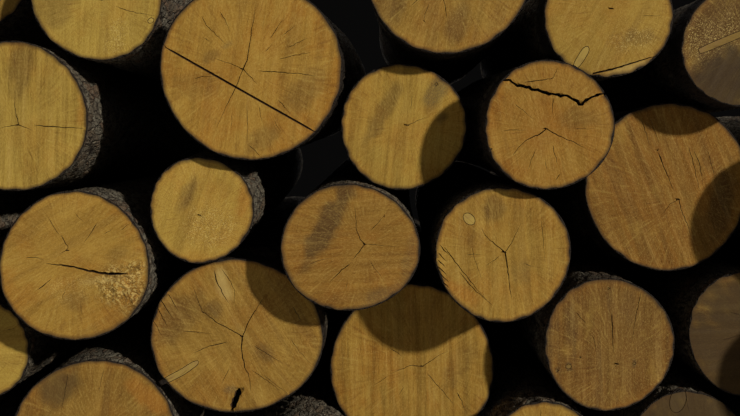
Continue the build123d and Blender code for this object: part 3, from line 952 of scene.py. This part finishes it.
def feed(tree, pairs):
    """Links each input socket to an output socket, or sets it to a plain value."""
    for socket, value in pairs:
        if isinstance(value, bpy.types.NodeSocket):
            tree.links.new(value, socket)
        else:
            socket.default_value = value


def sums(tree, operation, one, two=0.5, three=None, clamp=False):
    """The result of a sum on up to three numbers or sockets."""
    inputs = {0: one, 1: two}
    if three is not None:
        inputs[2] = three
    return add(tree, "Math", inputs, operation=operation, use_clamp=clamp).outputs[0]


def moved(tree, operation, place, by):
    """A place with a second vector added or multiplied, or scaled by a number."""
    second = "Scale" if operation == "SCALE" else 1
    return add(tree, "VectorMath", {0: place, second: by}, operation=operation).outputs[0]


def fade(tree, value, low, high, bottom=0.0, top=1.0):
    """A smooth step: bottom where the value is under low, top where it is over high."""
    inputs = {"Value": value, "From Min": low, "From Max": high, "To Min": bottom, "To Max": top}
    return add(tree, "MapRange", inputs, interpolation_type="SMOOTHSTEP").outputs["Result"]


def colour_of(value):
    """A colour with an alpha of one. A socket stays as it is."""
    return value if isinstance(value, bpy.types.NodeSocket) else (*value, 1.0)


def tint(tree, share, one, two, blend="MIX"):
    """One colour blended to another by a share of nought to one."""
    node = add(tree, "Mix", data_type="RGBA", blend_type=blend, clamp_factor=True)
    first, second = colour_of(one), colour_of(two)
    feed(tree, ((node.inputs[0], share), (node.inputs[6], first), (node.inputs[7], second)))
    return node.outputs[2]


def layered(tree, colour, layers):
    """A colour with layers laid over it in turn, each a mask, a colour and a way to blend."""
    for mask, over, blend in layers:
        colour = tint(tree, mask, colour, over, blend)
    return colour


def noise(tree, place, scale, detail=3.0, rough=0.55, stretch=None, output="Fac"):
    """A cloudy pattern of nought to one, its places first stretched if asked."""
    if stretch:
        place = add(tree, "Mapping", {"Vector": place, "Scale": stretch}).outputs[0]
    inputs = {"Vector": place, "Scale": scale, "Detail": detail, "Roughness": rough}
    return add(tree, "TexNoise", inputs).outputs[output]


def cells(tree, place, scale, feature, output):
    """A pattern of cells: the distance to their edges, or a colour of their own."""
    inputs = {"Vector": place, "Scale": scale}
    return add(tree, "TexVoronoi", inputs, feature=feature).outputs[output]


def parts_of(tree, colour):
    """The three channels of a colour."""
    return add(tree, "SeparateColor", {"Color": colour}).outputs[:3]


def bump(tree, shader, strength, distance, height):
    """Relief of a material from a height."""
    node = add(tree, "Bump", {"Strength": strength, "Distance": distance, "Height": height})
    tree.links.new(node.outputs[0], shader.inputs["Normal"])


def new_group(label, inputs, outputs):
    """An empty shader node group with named inputs and outputs of numbers."""
    group = bpy.data.node_groups.new(label, "ShaderNodeTree")
    for name, kind in inputs:
        group.interface.new_socket(name, in_out="INPUT", socket_type="NodeSocket" + kind)
    for name in outputs:
        group.interface.new_socket(name, in_out="OUTPUT", socket_type="NodeSocketFloat")
    return group, group.nodes.new("NodeGroupInput").outputs, group.nodes.new("NodeGroupOutput")


SAW_MARKS = ("Streaks", "Bands", "Rings", "Rays", "Chips", "Blotches", "Fuzz", "Crumbs")
# The cloudy ones of them: the places they are read at, scale, detail, roughness and stretch
CLOUDY_MARKS = {
    "Streaks": ("Saw", 1.0, 5, 0.75, (100, 5, 1)),
    "Bands": ("Saw", 1.0, 3, 0.5, (38, 3.5, 1)),
    "Chips": ("Pith", 620.0, 2, 0.7, None),
    "Blotches": ("Saw", 24.0, 4, 0.62, (1, 0.75, 1)),
    "Fuzz": ("Saw", 430.0, 4, 0.8, (1, 0.5, 1)),
}


def saw_group():
    """Masks of sawn wood: streaks along the saw's way, broad bands, uneven year rings round the
    pith, rays, chips, soft blotches, fine fuzz and crumbs."""
    inputs = (("Saw", "Vector"), ("Pith", "Vector"))
    group, inlet, outlet = new_group("Sawn wood marks", inputs, SAW_MARKS)
    saw, pith = inlet["Saw"], inlet["Pith"]
    masks = {label: noise(group, inlet[places], *numbers)
             for label, (places, *numbers) in CLOUDY_MARKS.items()}
    bend = noise(group, pith, 28.0, 2.0, 0.5, output="Color")
    bend = moved(group, "SCALE", moved(group, "ADD", bend, (-0.5, -0.5, 0)), 0.009)
    flat = moved(group, "MULTIPLY", moved(group, "ADD", pith, bend), (1, 1, 0))
    reach = add(group, "VectorMath", {0: flat}, operation="LENGTH").outputs["Value"]
    shells = {"W": reach, "Scale": 330.0, "Detail": 3.0, "Roughness": 0.6}
    shells = add(group, "TexNoise", shells, noise_dimensions="1D").outputs["Fac"]
    strong = fade(group, noise(group, pith, 17.0, 2), 0.40, 0.66)
    masks["Rings"] = sums(group, "MULTIPLY", fade(group, shells, 0.46, 0.62), strong)
    # A ray's place is its direction, and along it a small share of the way out, so that it is long
    way = add(group, "VectorMath", {0: flat}, operation="NORMALIZE").outputs[0]
    lengths = add(group, "CombineXYZ", {"Z": sums(group, "MULTIPLY", reach, 1.1)}).outputs[0]
    masks["Rays"] = noise(group, moved(group, "ADD", way, lengths), 27.0, 4, 0.68)
    shove = moved(group, "SCALE", noise(group, saw, 120.0, 2.0, 0.5, output="Color"), 0.012)
    crumbs = cells(group, moved(group, "ADD", saw, shove), 350.0, "F1", "Color")
    masks["Crumbs"] = parts_of(group, crumbs)[0]
    for label in SAW_MARKS:
        group.links.new(masks[label], outlet.inputs[label])
    return group


def grime_group():
    """Masks of weathered patches, large ones and small flecks, on the stack's own places."""
    inputs = (("Place", "Vector"), ("Size", "Float"))
    group, inlet, outlet = new_group("Weathered patches", inputs, ("Patches", "Flecks"))
    place = moved(group, "ADD", inlet["Place"], (0.37, 1.9, 0.81))
    large = noise(group, place, inlet["Size"], 4.0, 0.6)
    small = noise(group, place, 190.0, 3, 0.65, (1, 0.45, 1))
    group.links.new(fade(group, large, 0.42, 0.66), outlet.inputs["Patches"])
    group.links.new(fade(group, small, 0.54, 0.70), outlet.inputs["Flecks"])
    return group


def place_group(tree, group, inputs):
    """A node group placed in a material with its own values, as outputs by their names."""
    node = tree.nodes.new("ShaderNodeGroup")
    node.node_tree = group
    feed(tree, [(node.inputs[label], value) for label, value in inputs.items()])
    return node.outputs


def saw_marks(tree, saw):
    """The marks of sawn wood, on the two UV maps of a trunk."""
    maps = {label: add(tree, "UVMap", uv_map=label.lower()).outputs[0] for label in ("Saw", "Pith")}
    return place_group(tree, saw, maps)


def weathering(tree, grime, size):
    """The weathered patches of a given scale, and the place on the stack that they are read at."""
    place = add(tree, "TexCoord").outputs["Object"]
    return place_group(tree, grime, {"Place": place, "Size": size}), place


def strengths(tree, label):
    """The four numbers of one of a trunk's attributes."""
    node = add(tree, "Attribute", attribute_name=label)
    return (*parts_of(tree, node.outputs["Color"]), node.outputs["Alpha"])


# Gloss of wood and of bark, as the shader's specular level
WOOD_GLOSS, BARK_GLOSS = 0.12, 0.03


def new_material(label, colour, rough, gloss=WOOD_GLOSS):
    """A material with its Principled shader, whose constant values are set on the shader itself."""
    material = bpy.data.materials.new(label)
    material.use_nodes = True
    material.diffuse_color = colour_of(colour)
    shader = material.node_tree.nodes["Principled BSDF"]
    shader.inputs["Base Color"].default_value = colour_of(colour)
    shader.inputs["Roughness"].default_value = rough
    shader.inputs["Specular IOR Level"].default_value = gloss
    return material.node_tree, shader


# Patterns laid over the sawn wood: the mark, where it starts and is full, its strength, its colour
# and its blend. A shade is multiplied with what is under it, and a light is blended in.
SAWN_PATTERNS = (
    ("Rays", 0.47, 0.33, 0.34, (0.38, 0.20, 0.08), "MULTIPLY"),
    ("Rays", 0.54, 0.69, 0.21, (0.54, 0.37, 0.085), "MIX"),
    ("Blotches", 0.50, 0.28, 0.30, (0.50, 0.40, 0.26), "MULTIPLY"),
    ("Blotches", 0.52, 0.74, 0.24, (0.50, 0.31, 0.055), "MIX"),
    ("Fuzz", 0.50, 0.36, 0.22, (0.34, 0.26, 0.16), "MULTIPLY"),
    ("Fuzz", 0.50, 0.66, 0.20, (0.58, 0.40, 0.11), "MIX"),
)
# The same for those that show only where the wood is rough or torn, all of them blended in
TORN_PATTERNS = (
    ("Chips", 0.57, 0.68, 1.0, (0.60, 0.42, 0.14)),
    ("Chips", 0.45, 0.34, 1.0, (0.10, 0.052, 0.018)),
    ("Crumbs", 0.60, 0.72, 0.42, (0.62, 0.45, 0.14)),
    ("Crumbs", 0.36, 0.24, 0.48, (0.075, 0.036, 0.010)),
)
STREAK_SHADE, STREAK_LIGHT = (0.30, 0.21, 0.12), (0.52, 0.34, 0.085)
# The darkest wood colour is painted shadow on ends that lie in shade, and the dark of the rim
RING_SHADE, PALE_WOOD, SHADE_AND_RIM_DARK = (0.42, 0.26, 0.12), (0.50, 0.35, 0.11), (0.040, 0.024, 0.010)
LIGHTER_WALL = (0.11, 0.055, 0.020)
KNOT_PATCH, KNOT_SHADE = (0.22, 0.12, 0.05), (0.4, 0.25, 0.12)
PLATE_SHADE = (0.055, 0.042, 0.03)
# How many flakes of bark there are on a metre across the log
FLAKE_SCALE = 78.0


def sawn_wood(wood, saw, grime):
    """Sawn ends: fresh wood that turns orange and brown by the log's tone, with streaks, bands,
    faint year rings, rays, bright chips, and brown, grey, dark and amber stains from the end's own
    attributes. Some of the brown and dark patches are painted shadows."""
    tree, shader = new_material("Sawn wood", wood.fresh, 0.78)
    marks = saw_marks(tree, saw)
    patches, _ = weathering(tree, grime, 14.0)
    brown, grey, dark, amber = strengths(tree, "stain")
    rough, torn, pale, _ = strengths(tree, "wear")
    orange, browned, streaked, speckled = strengths(tree, "tone")
    streaks, bands, chips, fuzz = (marks[label] for label in ("Streaks", "Bands", "Chips", "Fuzz"))

    def times(one, two):
        return sums(tree, "MULTIPLY", one, two)

    def times_plus(one, two, three):
        return sums(tree, "MULTIPLY_ADD", one, two, three)

    wash = times_plus(patches["Patches"], 0.35, sums(tree, "ADD", orange, -0.12))
    band = times(times(fade(tree, bands, 0.44, 0.62), streaked), 0.42)
    aged_and_shaded = times_plus(fade(tree, bands, 0.5, 0.36), 0.3, browned)
    # The brown stain strength also carries painted soft shadows on a few ends
    aged_and_shaded = times_plus(brown, 0.75, times(aged_and_shaded, 0.62))
    line = times(fade(tree, streaks, 0.56, 0.36), times_plus(streaked, 0.36, 0.08))
    glow = times(fade(tree, streaks, 0.52, 0.70), times(streaked, 0.32))
    chip = times_plus(rough, 0.6, times(speckled, 0.35))
    chip = sums(tree, "MULTIPLY_ADD", torn, 0.6, chip, clamp=True)
    crumb = sums(tree, "MAXIMUM", torn, times(rough, fade(tree, fuzz, 0.46, 0.60)))
    shown = {"Chips": chip, "Crumbs": crumb}
    mould = times(grey, fade(tree, chips, 0.64, 0.42, 0.15, 0.75))
    layers = [(wash, wood.orange, "MIX"), (band, wood.olive, "MIX"), (aged_and_shaded, wood.brown, "MIX"),
              (times(amber, 0.7), wood.amber, "MIX"), (line, STREAK_SHADE, "MULTIPLY"),
              (glow, STREAK_LIGHT, "MIX"), (times(marks["Rings"], 0.20), RING_SHADE, "MULTIPLY")]
    for label, low, high, strength, over, blend in SAWN_PATTERNS:
        layers.append((fade(tree, marks[label], low, high, 0, strength), over, blend))
    for label, low, high, strength, over in TORN_PATTERNS:
        mask = fade(tree, marks[label], low, high, 0, strength)
        layers.append((times(shown[label], mask), over, "MIX"))
    # The last layer lays painted shadow on ends that lie in shade, and darkens the rim
    layers += [(times(pale, 0.5), PALE_WOOD, "MIX"), (mould, wood.mould, "MIX"),
               (times(dark, 0.88), SHADE_AND_RIM_DARK, "MIX")]
    tree.links.new(layered(tree, wood.fresh, layers), shader.inputs["Base Color"])
    lift = times_plus(chips, times_plus(chip, 0.8, 0.15), times(fuzz, 0.35))
    lift = times_plus(streaks, times_plus(streaked, 0.7, 0.3), lift)
    lift = times_plus(times(marks["Crumbs"], torn), 2.5, lift)
    bump(tree, shader, 0.75, wood.saw_relief, lift)
    tree.links.new(fade(tree, streaks, 0.3, 0.7, 0.86, 0.66), shader.inputs["Roughness"])


def gap_wood(wood, grime):
    """The walls of checks, saw cuts and splits: dark wood that is a little lighter in places."""
    tree, shader = new_material("Dark wood of the checks", wood.check, 0.9)
    patches, _ = weathering(tree, grime, 40.0)
    lighter = sums(tree, "MULTIPLY", patches["Patches"], 0.7)
    colour = tint(tree, lighter, wood.check, LIGHTER_WALL)
    tree.links.new(colour, shader.inputs["Base Color"])


def knot_wood(wood, saw, grime):
    """Knots and spike knots: dense light wood with close lines, a brown tint in places, and
    painted shadow where the end lies in shade.
    """
    tree, shader = new_material("Knot wood", wood.knot, 0.7)
    rays = saw_marks(tree, saw)["Rays"]
    patches, _ = weathering(tree, grime, 60.0)
    browned = strengths(tree, "tone")[1]
    dead, _, dark, _ = strengths(tree, "stain")
    browned = sums(tree, "MAXIMUM", sums(tree, "MULTIPLY", browned, 0.7), dead)
    layers = ((browned, wood.brown, "MIX"),
              (sums(tree, "MULTIPLY", patches["Patches"], 0.35), KNOT_PATCH, "MIX"),
              (fade(tree, rays, 0.5, 0.35, 0, 0.4), KNOT_SHADE, "MULTIPLY"),
              # Painted shadow over knots on ends that lie in shade
              (sums(tree, "MULTIPLY", dark, 0.82), SHADE_AND_RIM_DARK, "MIX"))
    tree.links.new(layered(tree, wood.knot, layers), shader.inputs["Base Color"])
    bump(tree, shader, 0.4, 0.0006, rays)


def bark_skin(bark, grime):
    """Bark: grey-brown flakes longer along the log, with dark pits, broken dark seams between them,
    grey-green flecks of lichen and a few red-brown patches where a flake came off. The furrows of
    the mesh are darker too, and the bark just behind some ends is painted dark as shade."""
    tree, shader = new_material("Bark", bark.plate, 0.92, BARK_GLOSS)
    patches, place = weathering(tree, grime, 9.0)
    long_way = add(tree, "Mapping", {"Vector": place, "Scale": (1, 0.27, 1)}).outputs[0]
    shove = moved(tree, "SCALE", noise(tree, long_way, 45.0, 3.0, 0.5, output="Color"), 0.034)
    shoved = moved(tree, "ADD", long_way, shove)
    flakes = cells(tree, shoved, FLAKE_SCALE, "DISTANCE_TO_EDGE", "Distance")
    own = parts_of(tree, cells(tree, shoved, FLAKE_SCALE, "F1", "Color"))[0]
    fine = noise(tree, place, 330.0, 4, 0.7, (1, 0.5, 1))
    grain = noise(tree, place, 110.0, 4, 0.65, (1, 0.3, 1))
    # The dark strength holds the furrows' depth, and painted shade on the bark behind some ends
    furrow = strengths(tree, "stain")[2]
    red = sums(tree, "MULTIPLY", patches["Patches"], fade(tree, own, 0.62, 0.8, 0, 0.35))
    broken = fade(tree, grain, 0.40, 0.56, 0.2, 0.9)
    seams_and_shade = sums(tree, "MULTIPLY", fade(tree, flakes, 0.085, 0.01), broken)
    seams_and_shade = sums(tree, "MAXIMUM", seams_and_shade, fade(tree, furrow, 0.5, 0.98))
    layers = ((fade(tree, own, 0.2, 0.8), bark.warm, "MIX"),
              (fade(tree, grain, 0.42, 0.62, 0, 0.75), PLATE_SHADE, "MIX"),
              (fade(tree, fine, 0.53, 0.68, 0, 0.8), bark.lichen, "MIX"),
              (sums(tree, "MULTIPLY", patches["Flecks"], 0.5), bark.lichen, "MIX"),
              (fade(tree, fine, 0.46, 0.33, 0, 0.85), bark.furrow, "MIX"),
              (red, bark.inner, "MIX"),
              (sums(tree, "MULTIPLY", seams_and_shade, 0.97), bark.furrow, "MIX"))
    tree.links.new(layered(tree, bark.plate, layers), shader.inputs["Base Color"])
    height = sums(tree, "MULTIPLY", fine, 0.5)
    height = sums(tree, "MULTIPLY_ADD", fade(tree, flakes, 0.0, 0.16), 0.8, height)
    height = sums(tree, "MULTIPLY_ADD", grain, 0.6, height)
    bump(tree, shader, 0.9, bark.flake_relief, height)


def floor_finish(stage):
    """Plain pale floor with a very faint cloudiness."""
    tree, shader = new_material("Pale floor", stage.floor, 0.85)
    cloud = noise(tree, add(tree, "TexCoord").outputs["Object"], 0.7, 3)
    pale = tuple(min(1.0, part * 1.04) for part in stage.floor)
    tree.links.new(tint(tree, cloud, stage.floor, pale), shader.inputs["Base Color"])


class LogStackBark(bpy.types.PropertyGroup):
    """Sizes and colours of the bark."""

    relief: bpy.props.FloatProperty(
        name="Furrow depth", description="How deep the bark's furrows are",
        default=0.0055, min=0, unit="LENGTH", subtype="DISTANCE")
    furrow_share: bpy.props.FloatProperty(
        name="Furrow share", description="How strongly furrows stand out from the plates",
        default=0.8, min=0, max=1, subtype="FACTOR")
    rim: bpy.props.FloatProperty(
        name="Bark thickness", description="Width of the bark's ring round a sawn end",
        default=0.0023, min=0.001, unit="LENGTH", subtype="DISTANCE")
    flake_relief: bpy.props.FloatProperty(
        name="Flake relief", description="Height of the small flakes",
        default=0.003, min=0, unit="LENGTH", subtype="DISTANCE")
    plate: bpy.props.FloatVectorProperty(
        name="Plates", description="Colour of the bark's plates",
        default=(0.170, 0.140, 0.092), subtype="COLOR", min=0, max=1)
    warm: bpy.props.FloatVectorProperty(
        name="Warm plates", description="Colour of the browner plates",
        default=(0.135, 0.098, 0.058), subtype="COLOR", min=0, max=1)
    furrow: bpy.props.FloatVectorProperty(
        name="Furrows", description="Colour between the plates",
        default=(0.020, 0.015, 0.011), subtype="COLOR", min=0, max=1)
    lichen: bpy.props.FloatVectorProperty(
        name="Lichen", description="Colour of the flecks of lichen",
        default=(0.28, 0.25, 0.17), subtype="COLOR", min=0, max=1)
    inner: bpy.props.FloatVectorProperty(
        name="Inner bark", description="Colour where a flake came off",
        default=(0.19, 0.092, 0.045), subtype="COLOR", min=0, max=1)


class LogStackWood(bpy.types.PropertyGroup):
    """Sizes and colours of the sawn ends."""

    check_width: bpy.props.FloatProperty(
        name="Check width", description="Share of the checks' noted widths",
        default=1.0, min=0.2, max=3, subtype="FACTOR")
    saw_relief: bpy.props.FloatProperty(
        name="Saw relief", description="Height of the saw's marks",
        default=0.0011, min=0, unit="LENGTH", subtype="DISTANCE")
    fresh: bpy.props.FloatVectorProperty(
        name="Fresh wood", description="Colour of the palest wood",
        default=(0.400, 0.254, 0.040), subtype="COLOR", min=0, max=1)
    orange: bpy.props.FloatVectorProperty(
        name="Orange wood", description="Colour of the orange wood",
        default=(0.345, 0.141, 0.012), subtype="COLOR", min=0, max=1)
    olive: bpy.props.FloatVectorProperty(
        name="Olive bands", description="Colour of the bands along the saw's way",
        default=(0.24, 0.150, 0.026), subtype="COLOR", min=0, max=1)
    brown: bpy.props.FloatVectorProperty(
        name="Brown wood", description="Colour of aged wood",
        default=(0.105, 0.051, 0.011), subtype="COLOR", min=0, max=1)
    amber: bpy.props.FloatVectorProperty(
        name="Amber edge", description="Colour of the damp wood at the edge",
        default=(0.33, 0.125, 0.013), subtype="COLOR", min=0, max=1)
    mould: bpy.props.FloatVectorProperty(
        name="Mould", description="Colour of grey-green mould",
        default=(0.085, 0.062, 0.028), subtype="COLOR", min=0, max=1)
    check: bpy.props.FloatVectorProperty(
        name="Checks", description="Colour inside the checks",
        default=(0.050, 0.024, 0.010), subtype="COLOR", min=0, max=1)
    knot: bpy.props.FloatVectorProperty(
        name="Knots", description="Colour of the knots",
        default=(0.43, 0.285, 0.060), subtype="COLOR", min=0, max=1)


class LogStackStage(bpy.types.PropertyGroup):
    """Floor, light and the colour behind the stack."""

    floor: bpy.props.FloatVectorProperty(
        name="Floor", description="Colour of the floor",
        default=(0.78, 0.77, 0.745), subtype="COLOR", min=0, max=1)
    floor_reach: bpy.props.FloatProperty(
        name="Floor radius", description="How far the round floor reaches",
        default=5.5, min=3, unit="LENGTH", subtype="DISTANCE")
    backdrop: bpy.props.FloatVectorProperty(
        name="Backdrop", description="Colour behind the stack",
        default=(0.36, 0.36, 0.355), subtype="COLOR", min=0, max=1)
    shade: bpy.props.FloatVectorProperty(
        name="Shade behind", description="Colour of the dark seen through the stack's gaps",
        default=(0.0026, 0.0025, 0.0024), subtype="COLOR", min=0, max=1)
    lamp: bpy.props.FloatProperty(
        name="Lamp", description="Strength of the main lamp", default=3.0, min=0)
    fill: bpy.props.FloatProperty(
        name="Fill", description="Strength of the even light", default=0.34, min=0)
    front_share: bpy.props.FloatProperty(
        name="Front share", description="Share of the even light that comes from in front",
        default=0.27, min=0, max=1, subtype="FACTOR")
    lamp_size: bpy.props.FloatProperty(
        name="Lamp size", description="How wide the lamp looks from the stack",
        default=math.radians(2.5), min=0, unit="ROTATION", subtype="ANGLE")
    lamp_way: bpy.props.FloatVectorProperty(
        name="Lamp direction", description="The way that the main light travels",
        default=(-0.75, 1.0, -0.42), subtype="DIRECTION")


def materials_of(context):
    """The four finishes of a log, made once, in the order of the material slots."""
    if "Bark" not in bpy.data.materials:
        wood, bark = context.scene.log_stack_wood, context.scene.log_stack_bark
        saw, grime = saw_group(), grime_group()
        bark_skin(bark, grime)
        sawn_wood(wood, saw, grime)
        gap_wood(wood, grime)
        knot_wood(wood, saw, grime)
    labels = ("Bark", "Sawn wood", "Dark wood of the checks", "Knot wood")
    return [bpy.data.materials[label] for label in labels]


def dress_layer(context, prefix):
    """Dresses every log of one layer and stops with an error if there is none."""
    names = sorted(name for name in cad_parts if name.startswith(prefix))
    if not names:
        raise RuntimeError("the frame has no log of the layer " + prefix)
    wood, bark = context.scene.log_stack_wood, context.scene.log_stack_bark
    materials = materials_of(context)
    for name in names:
        make_log(name, bark, wood, materials)


class LOGSTACK_OT_bottom_layer(bpy.types.Operator):
    """Dress the nine logs that lie on the floor"""

    bl_idname = "log_stack.bottom_layer"
    bl_label = "Bottom layer"

    def execute(self, context):
        dress_layer(context, "log_1")
        return {"FINISHED"}


class LOGSTACK_OT_second_layer(bpy.types.Operator):
    """Dress the eight logs of the second layer"""

    bl_idname = "log_stack.second_layer"
    bl_label = "Second layer"

    def execute(self, context):
        dress_layer(context, "log_2")
        return {"FINISHED"}


class LOGSTACK_OT_third_layer(bpy.types.Operator):
    """Dress the eight logs of the third layer"""

    bl_idname = "log_stack.third_layer"
    bl_label = "Third layer"

    def execute(self, context):
        dress_layer(context, "log_3")
        return {"FINISHED"}


class LOGSTACK_OT_fourth_layer(bpy.types.Operator):
    """Dress the five logs of the fourth layer"""

    bl_idname = "log_stack.fourth_layer"
    bl_label = "Fourth layer"

    def execute(self, context):
        dress_layer(context, "log_4")
        return {"FINISHED"}


class LOGSTACK_OT_top_layer(bpy.types.Operator):
    """Dress the five logs of the top layer"""

    bl_idname = "log_stack.top_layer"
    bl_label = "Top layer"

    def execute(self, context):
        dress_layer(context, "log_5")
        return {"FINISHED"}


# The floor's mesh: how many points round it and rings, and how far it lies under the logs
FLOOR_SPOKES, FLOOR_RINGS, FLOOR_DROP = 96, 11, 0.0005
# Tint of the even light, and the directions over which it rises from the front share to full
FILL_TINT, FILL_RISE = (0.95, 0.985, 1.12, 1), (-0.3, 0.6)
# The dark behind the stack: directions over which it rises, sideways and up or down
SHADE_SIDE, SHADE_HEIGHT = (0.90, 0.955), (0.45, 0.30)


def make_floor(scene, stage):
    """A round flat floor: rings of points at even distances, joined by quads, and one face in the
    middle."""
    mesh = bpy.data.meshes.new("floor")
    spokes = np.arange(FLOOR_SPOKES)
    distances = np.linspace(0, stage.floor_reach, FLOOR_RINGS + 1)[1:]
    turn, reach = np.meshgrid(spokes * TURN / FLOOR_SPOKES, distances, indexing="ij")
    level = np.full_like(turn, -FLOOR_DROP)
    points = np.stack([reach * np.cos(turn), reach * np.sin(turn), level], 2).reshape(-1, 3)
    spoke, ring = np.meshgrid(spokes, np.arange(FLOOR_RINGS - 1), indexing="ij")
    first = (spoke * FLOOR_RINGS + ring).ravel()
    after = ((spoke + 1) % FLOOR_SPOKES * FLOOR_RINGS + ring).ravel()
    quads = np.stack([first, first + 1, after + 1, after], 1)
    mesh.from_pydata(points.tolist(), [], quads.tolist() + [(spokes * FLOOR_RINGS).tolist()])
    floor_finish(stage)
    mesh.materials.append(bpy.data.materials["Pale floor"])
    floor = bpy.data.objects.new("floor", mesh)
    scene.collection.objects.link(floor)


def make_lamp(scene, stage):
    """The main lamp, far away and a little soft."""
    lamp = bpy.data.lights.new("main_lamp", "SUN")
    lamp.energy, lamp.angle = stage.lamp, stage.lamp_size
    lamp_object = bpy.data.objects.new("main_lamp", lamp)
    lamp_object.rotation_mode = "QUATERNION"
    lamp_object.rotation_quaternion = Vector(stage.lamp_way).to_track_quat("-Z", "Y")
    scene.collection.objects.link(lamp_object)


def make_sky(scene, stage):
    """Even light that is weaker from in front, and for the camera and in gloss a plain backdrop
    that is dark behind the stack."""
    world = bpy.data.worlds.new("studio")
    world.use_nodes = True
    tree = world.node_tree
    tree.nodes.clear()
    path = add(tree, "LightPath").outputs
    seen = sums(tree, "MAXIMUM", path["Is Camera Ray"], path["Is Glossy Ray"])
    seen = sums(tree, "MAXIMUM", seen, path["Is Transmission Ray"])
    generated = add(tree, "TexCoord").outputs["Generated"]
    way = add(tree, "SeparateXYZ", {"Vector": generated}).outputs
    height = fade(tree, sums(tree, "ABSOLUTE", way["Z"]), *SHADE_HEIGHT)
    rear = sums(tree, "MULTIPLY", fade(tree, way["Y"], *SHADE_SIDE), height)
    share = fade(tree, way["Y"], *FILL_RISE, stage.fill * stage.front_share, stage.fill)
    even = add(tree, "Background", {"Color": FILL_TINT, "Strength": share})
    colour = tint(tree, rear, stage.backdrop, stage.shade)
    behind = add(tree, "Background", {"Color": colour, "Strength": 1.0})
    mixed = add(tree, "MixShader", {0: seen, 1: even.outputs[0], 2: behind.outputs[0]})
    tree.links.new(mixed.outputs[0], add(tree, "OutputWorld").inputs["Surface"])
    scene.world = world


def make_camera(scene):
    """The camera at the photograph's viewing angle."""
    camera = bpy.data.cameras.new("camera")
    camera.sensor_width, camera.lens = SENSOR_WIDTH, SENSOR_WIDTH * FOCAL_SHARE
    camera_object = bpy.data.objects.new("camera", camera)
    camera_object.location = CAMERA_PLACE
    camera_object.rotation_euler = (math.radians(90 - CAMERA_TIP), 0, 0)
    scene.collection.objects.link(camera_object)
    scene.camera = camera_object
    scene.view_settings.view_transform = "Standard"


class LOGSTACK_OT_stage(bpy.types.Operator):
    """Make the floor, the light and the camera"""

    bl_idname = "log_stack.stage"
    bl_label = "Stage"

    def execute(self, context):
        scene, stage = context.scene, context.scene.log_stack_stage
        make_floor(scene, stage)
        make_lamp(scene, stage)
        make_sky(scene, stage)
        make_camera(scene)
        return {"FINISHED"}


OPERATORS = (LOGSTACK_OT_bottom_layer, LOGSTACK_OT_second_layer, LOGSTACK_OT_third_layer,
             LOGSTACK_OT_fourth_layer, LOGSTACK_OT_top_layer, LOGSTACK_OT_stage)
GROUPS = (("log_stack_bark", LogStackBark), ("log_stack_wood", LogStackWood),
          ("log_stack_stage", LogStackStage))


class LOGSTACK_PT_panel(bpy.types.Panel):
    """Buttons for the layers and the stage, over their sizes and colours"""

    bl_label = "Stack of logs"
    bl_idname = "LOGSTACK_PT_panel"
    bl_space_type = "VIEW_3D"
    bl_region_type = "UI"
    bl_category = "Logs"

    def draw(self, context):
        for operator in OPERATORS:
            self.layout.operator(operator.bl_idname)
        for label, group in GROUPS:
            box = self.layout.box()
            for entry in group.__annotations__:
                box.prop(getattr(context.scene, label), entry)


CLASSES = (*(group for _, group in GROUPS), *OPERATORS, LOGSTACK_PT_panel)


def register():
    """Registers the classes and puts the three groups of properties on the scene."""
    for entry in CLASSES:
        bpy.utils.register_class(entry)
    for label, group in GROUPS:
        setattr(bpy.types.Scene, label, bpy.props.PointerProperty(type=group))


def unregister():
    """Takes back what register did."""
    for label, _ in GROUPS:
        delattr(bpy.types.Scene, label)
    for entry in reversed(CLASSES):
        bpy.utils.unregister_class(entry)


def main():
    """Makes the stage and the five layers."""
    register()
    bpy.ops.log_stack.stage()
    bpy.ops.log_stack.bottom_layer()
    bpy.ops.log_stack.second_layer()
    bpy.ops.log_stack.third_layer()
    bpy.ops.log_stack.fourth_layer()
    bpy.ops.log_stack.top_layer()


if __name__ == "__main__":
    main()
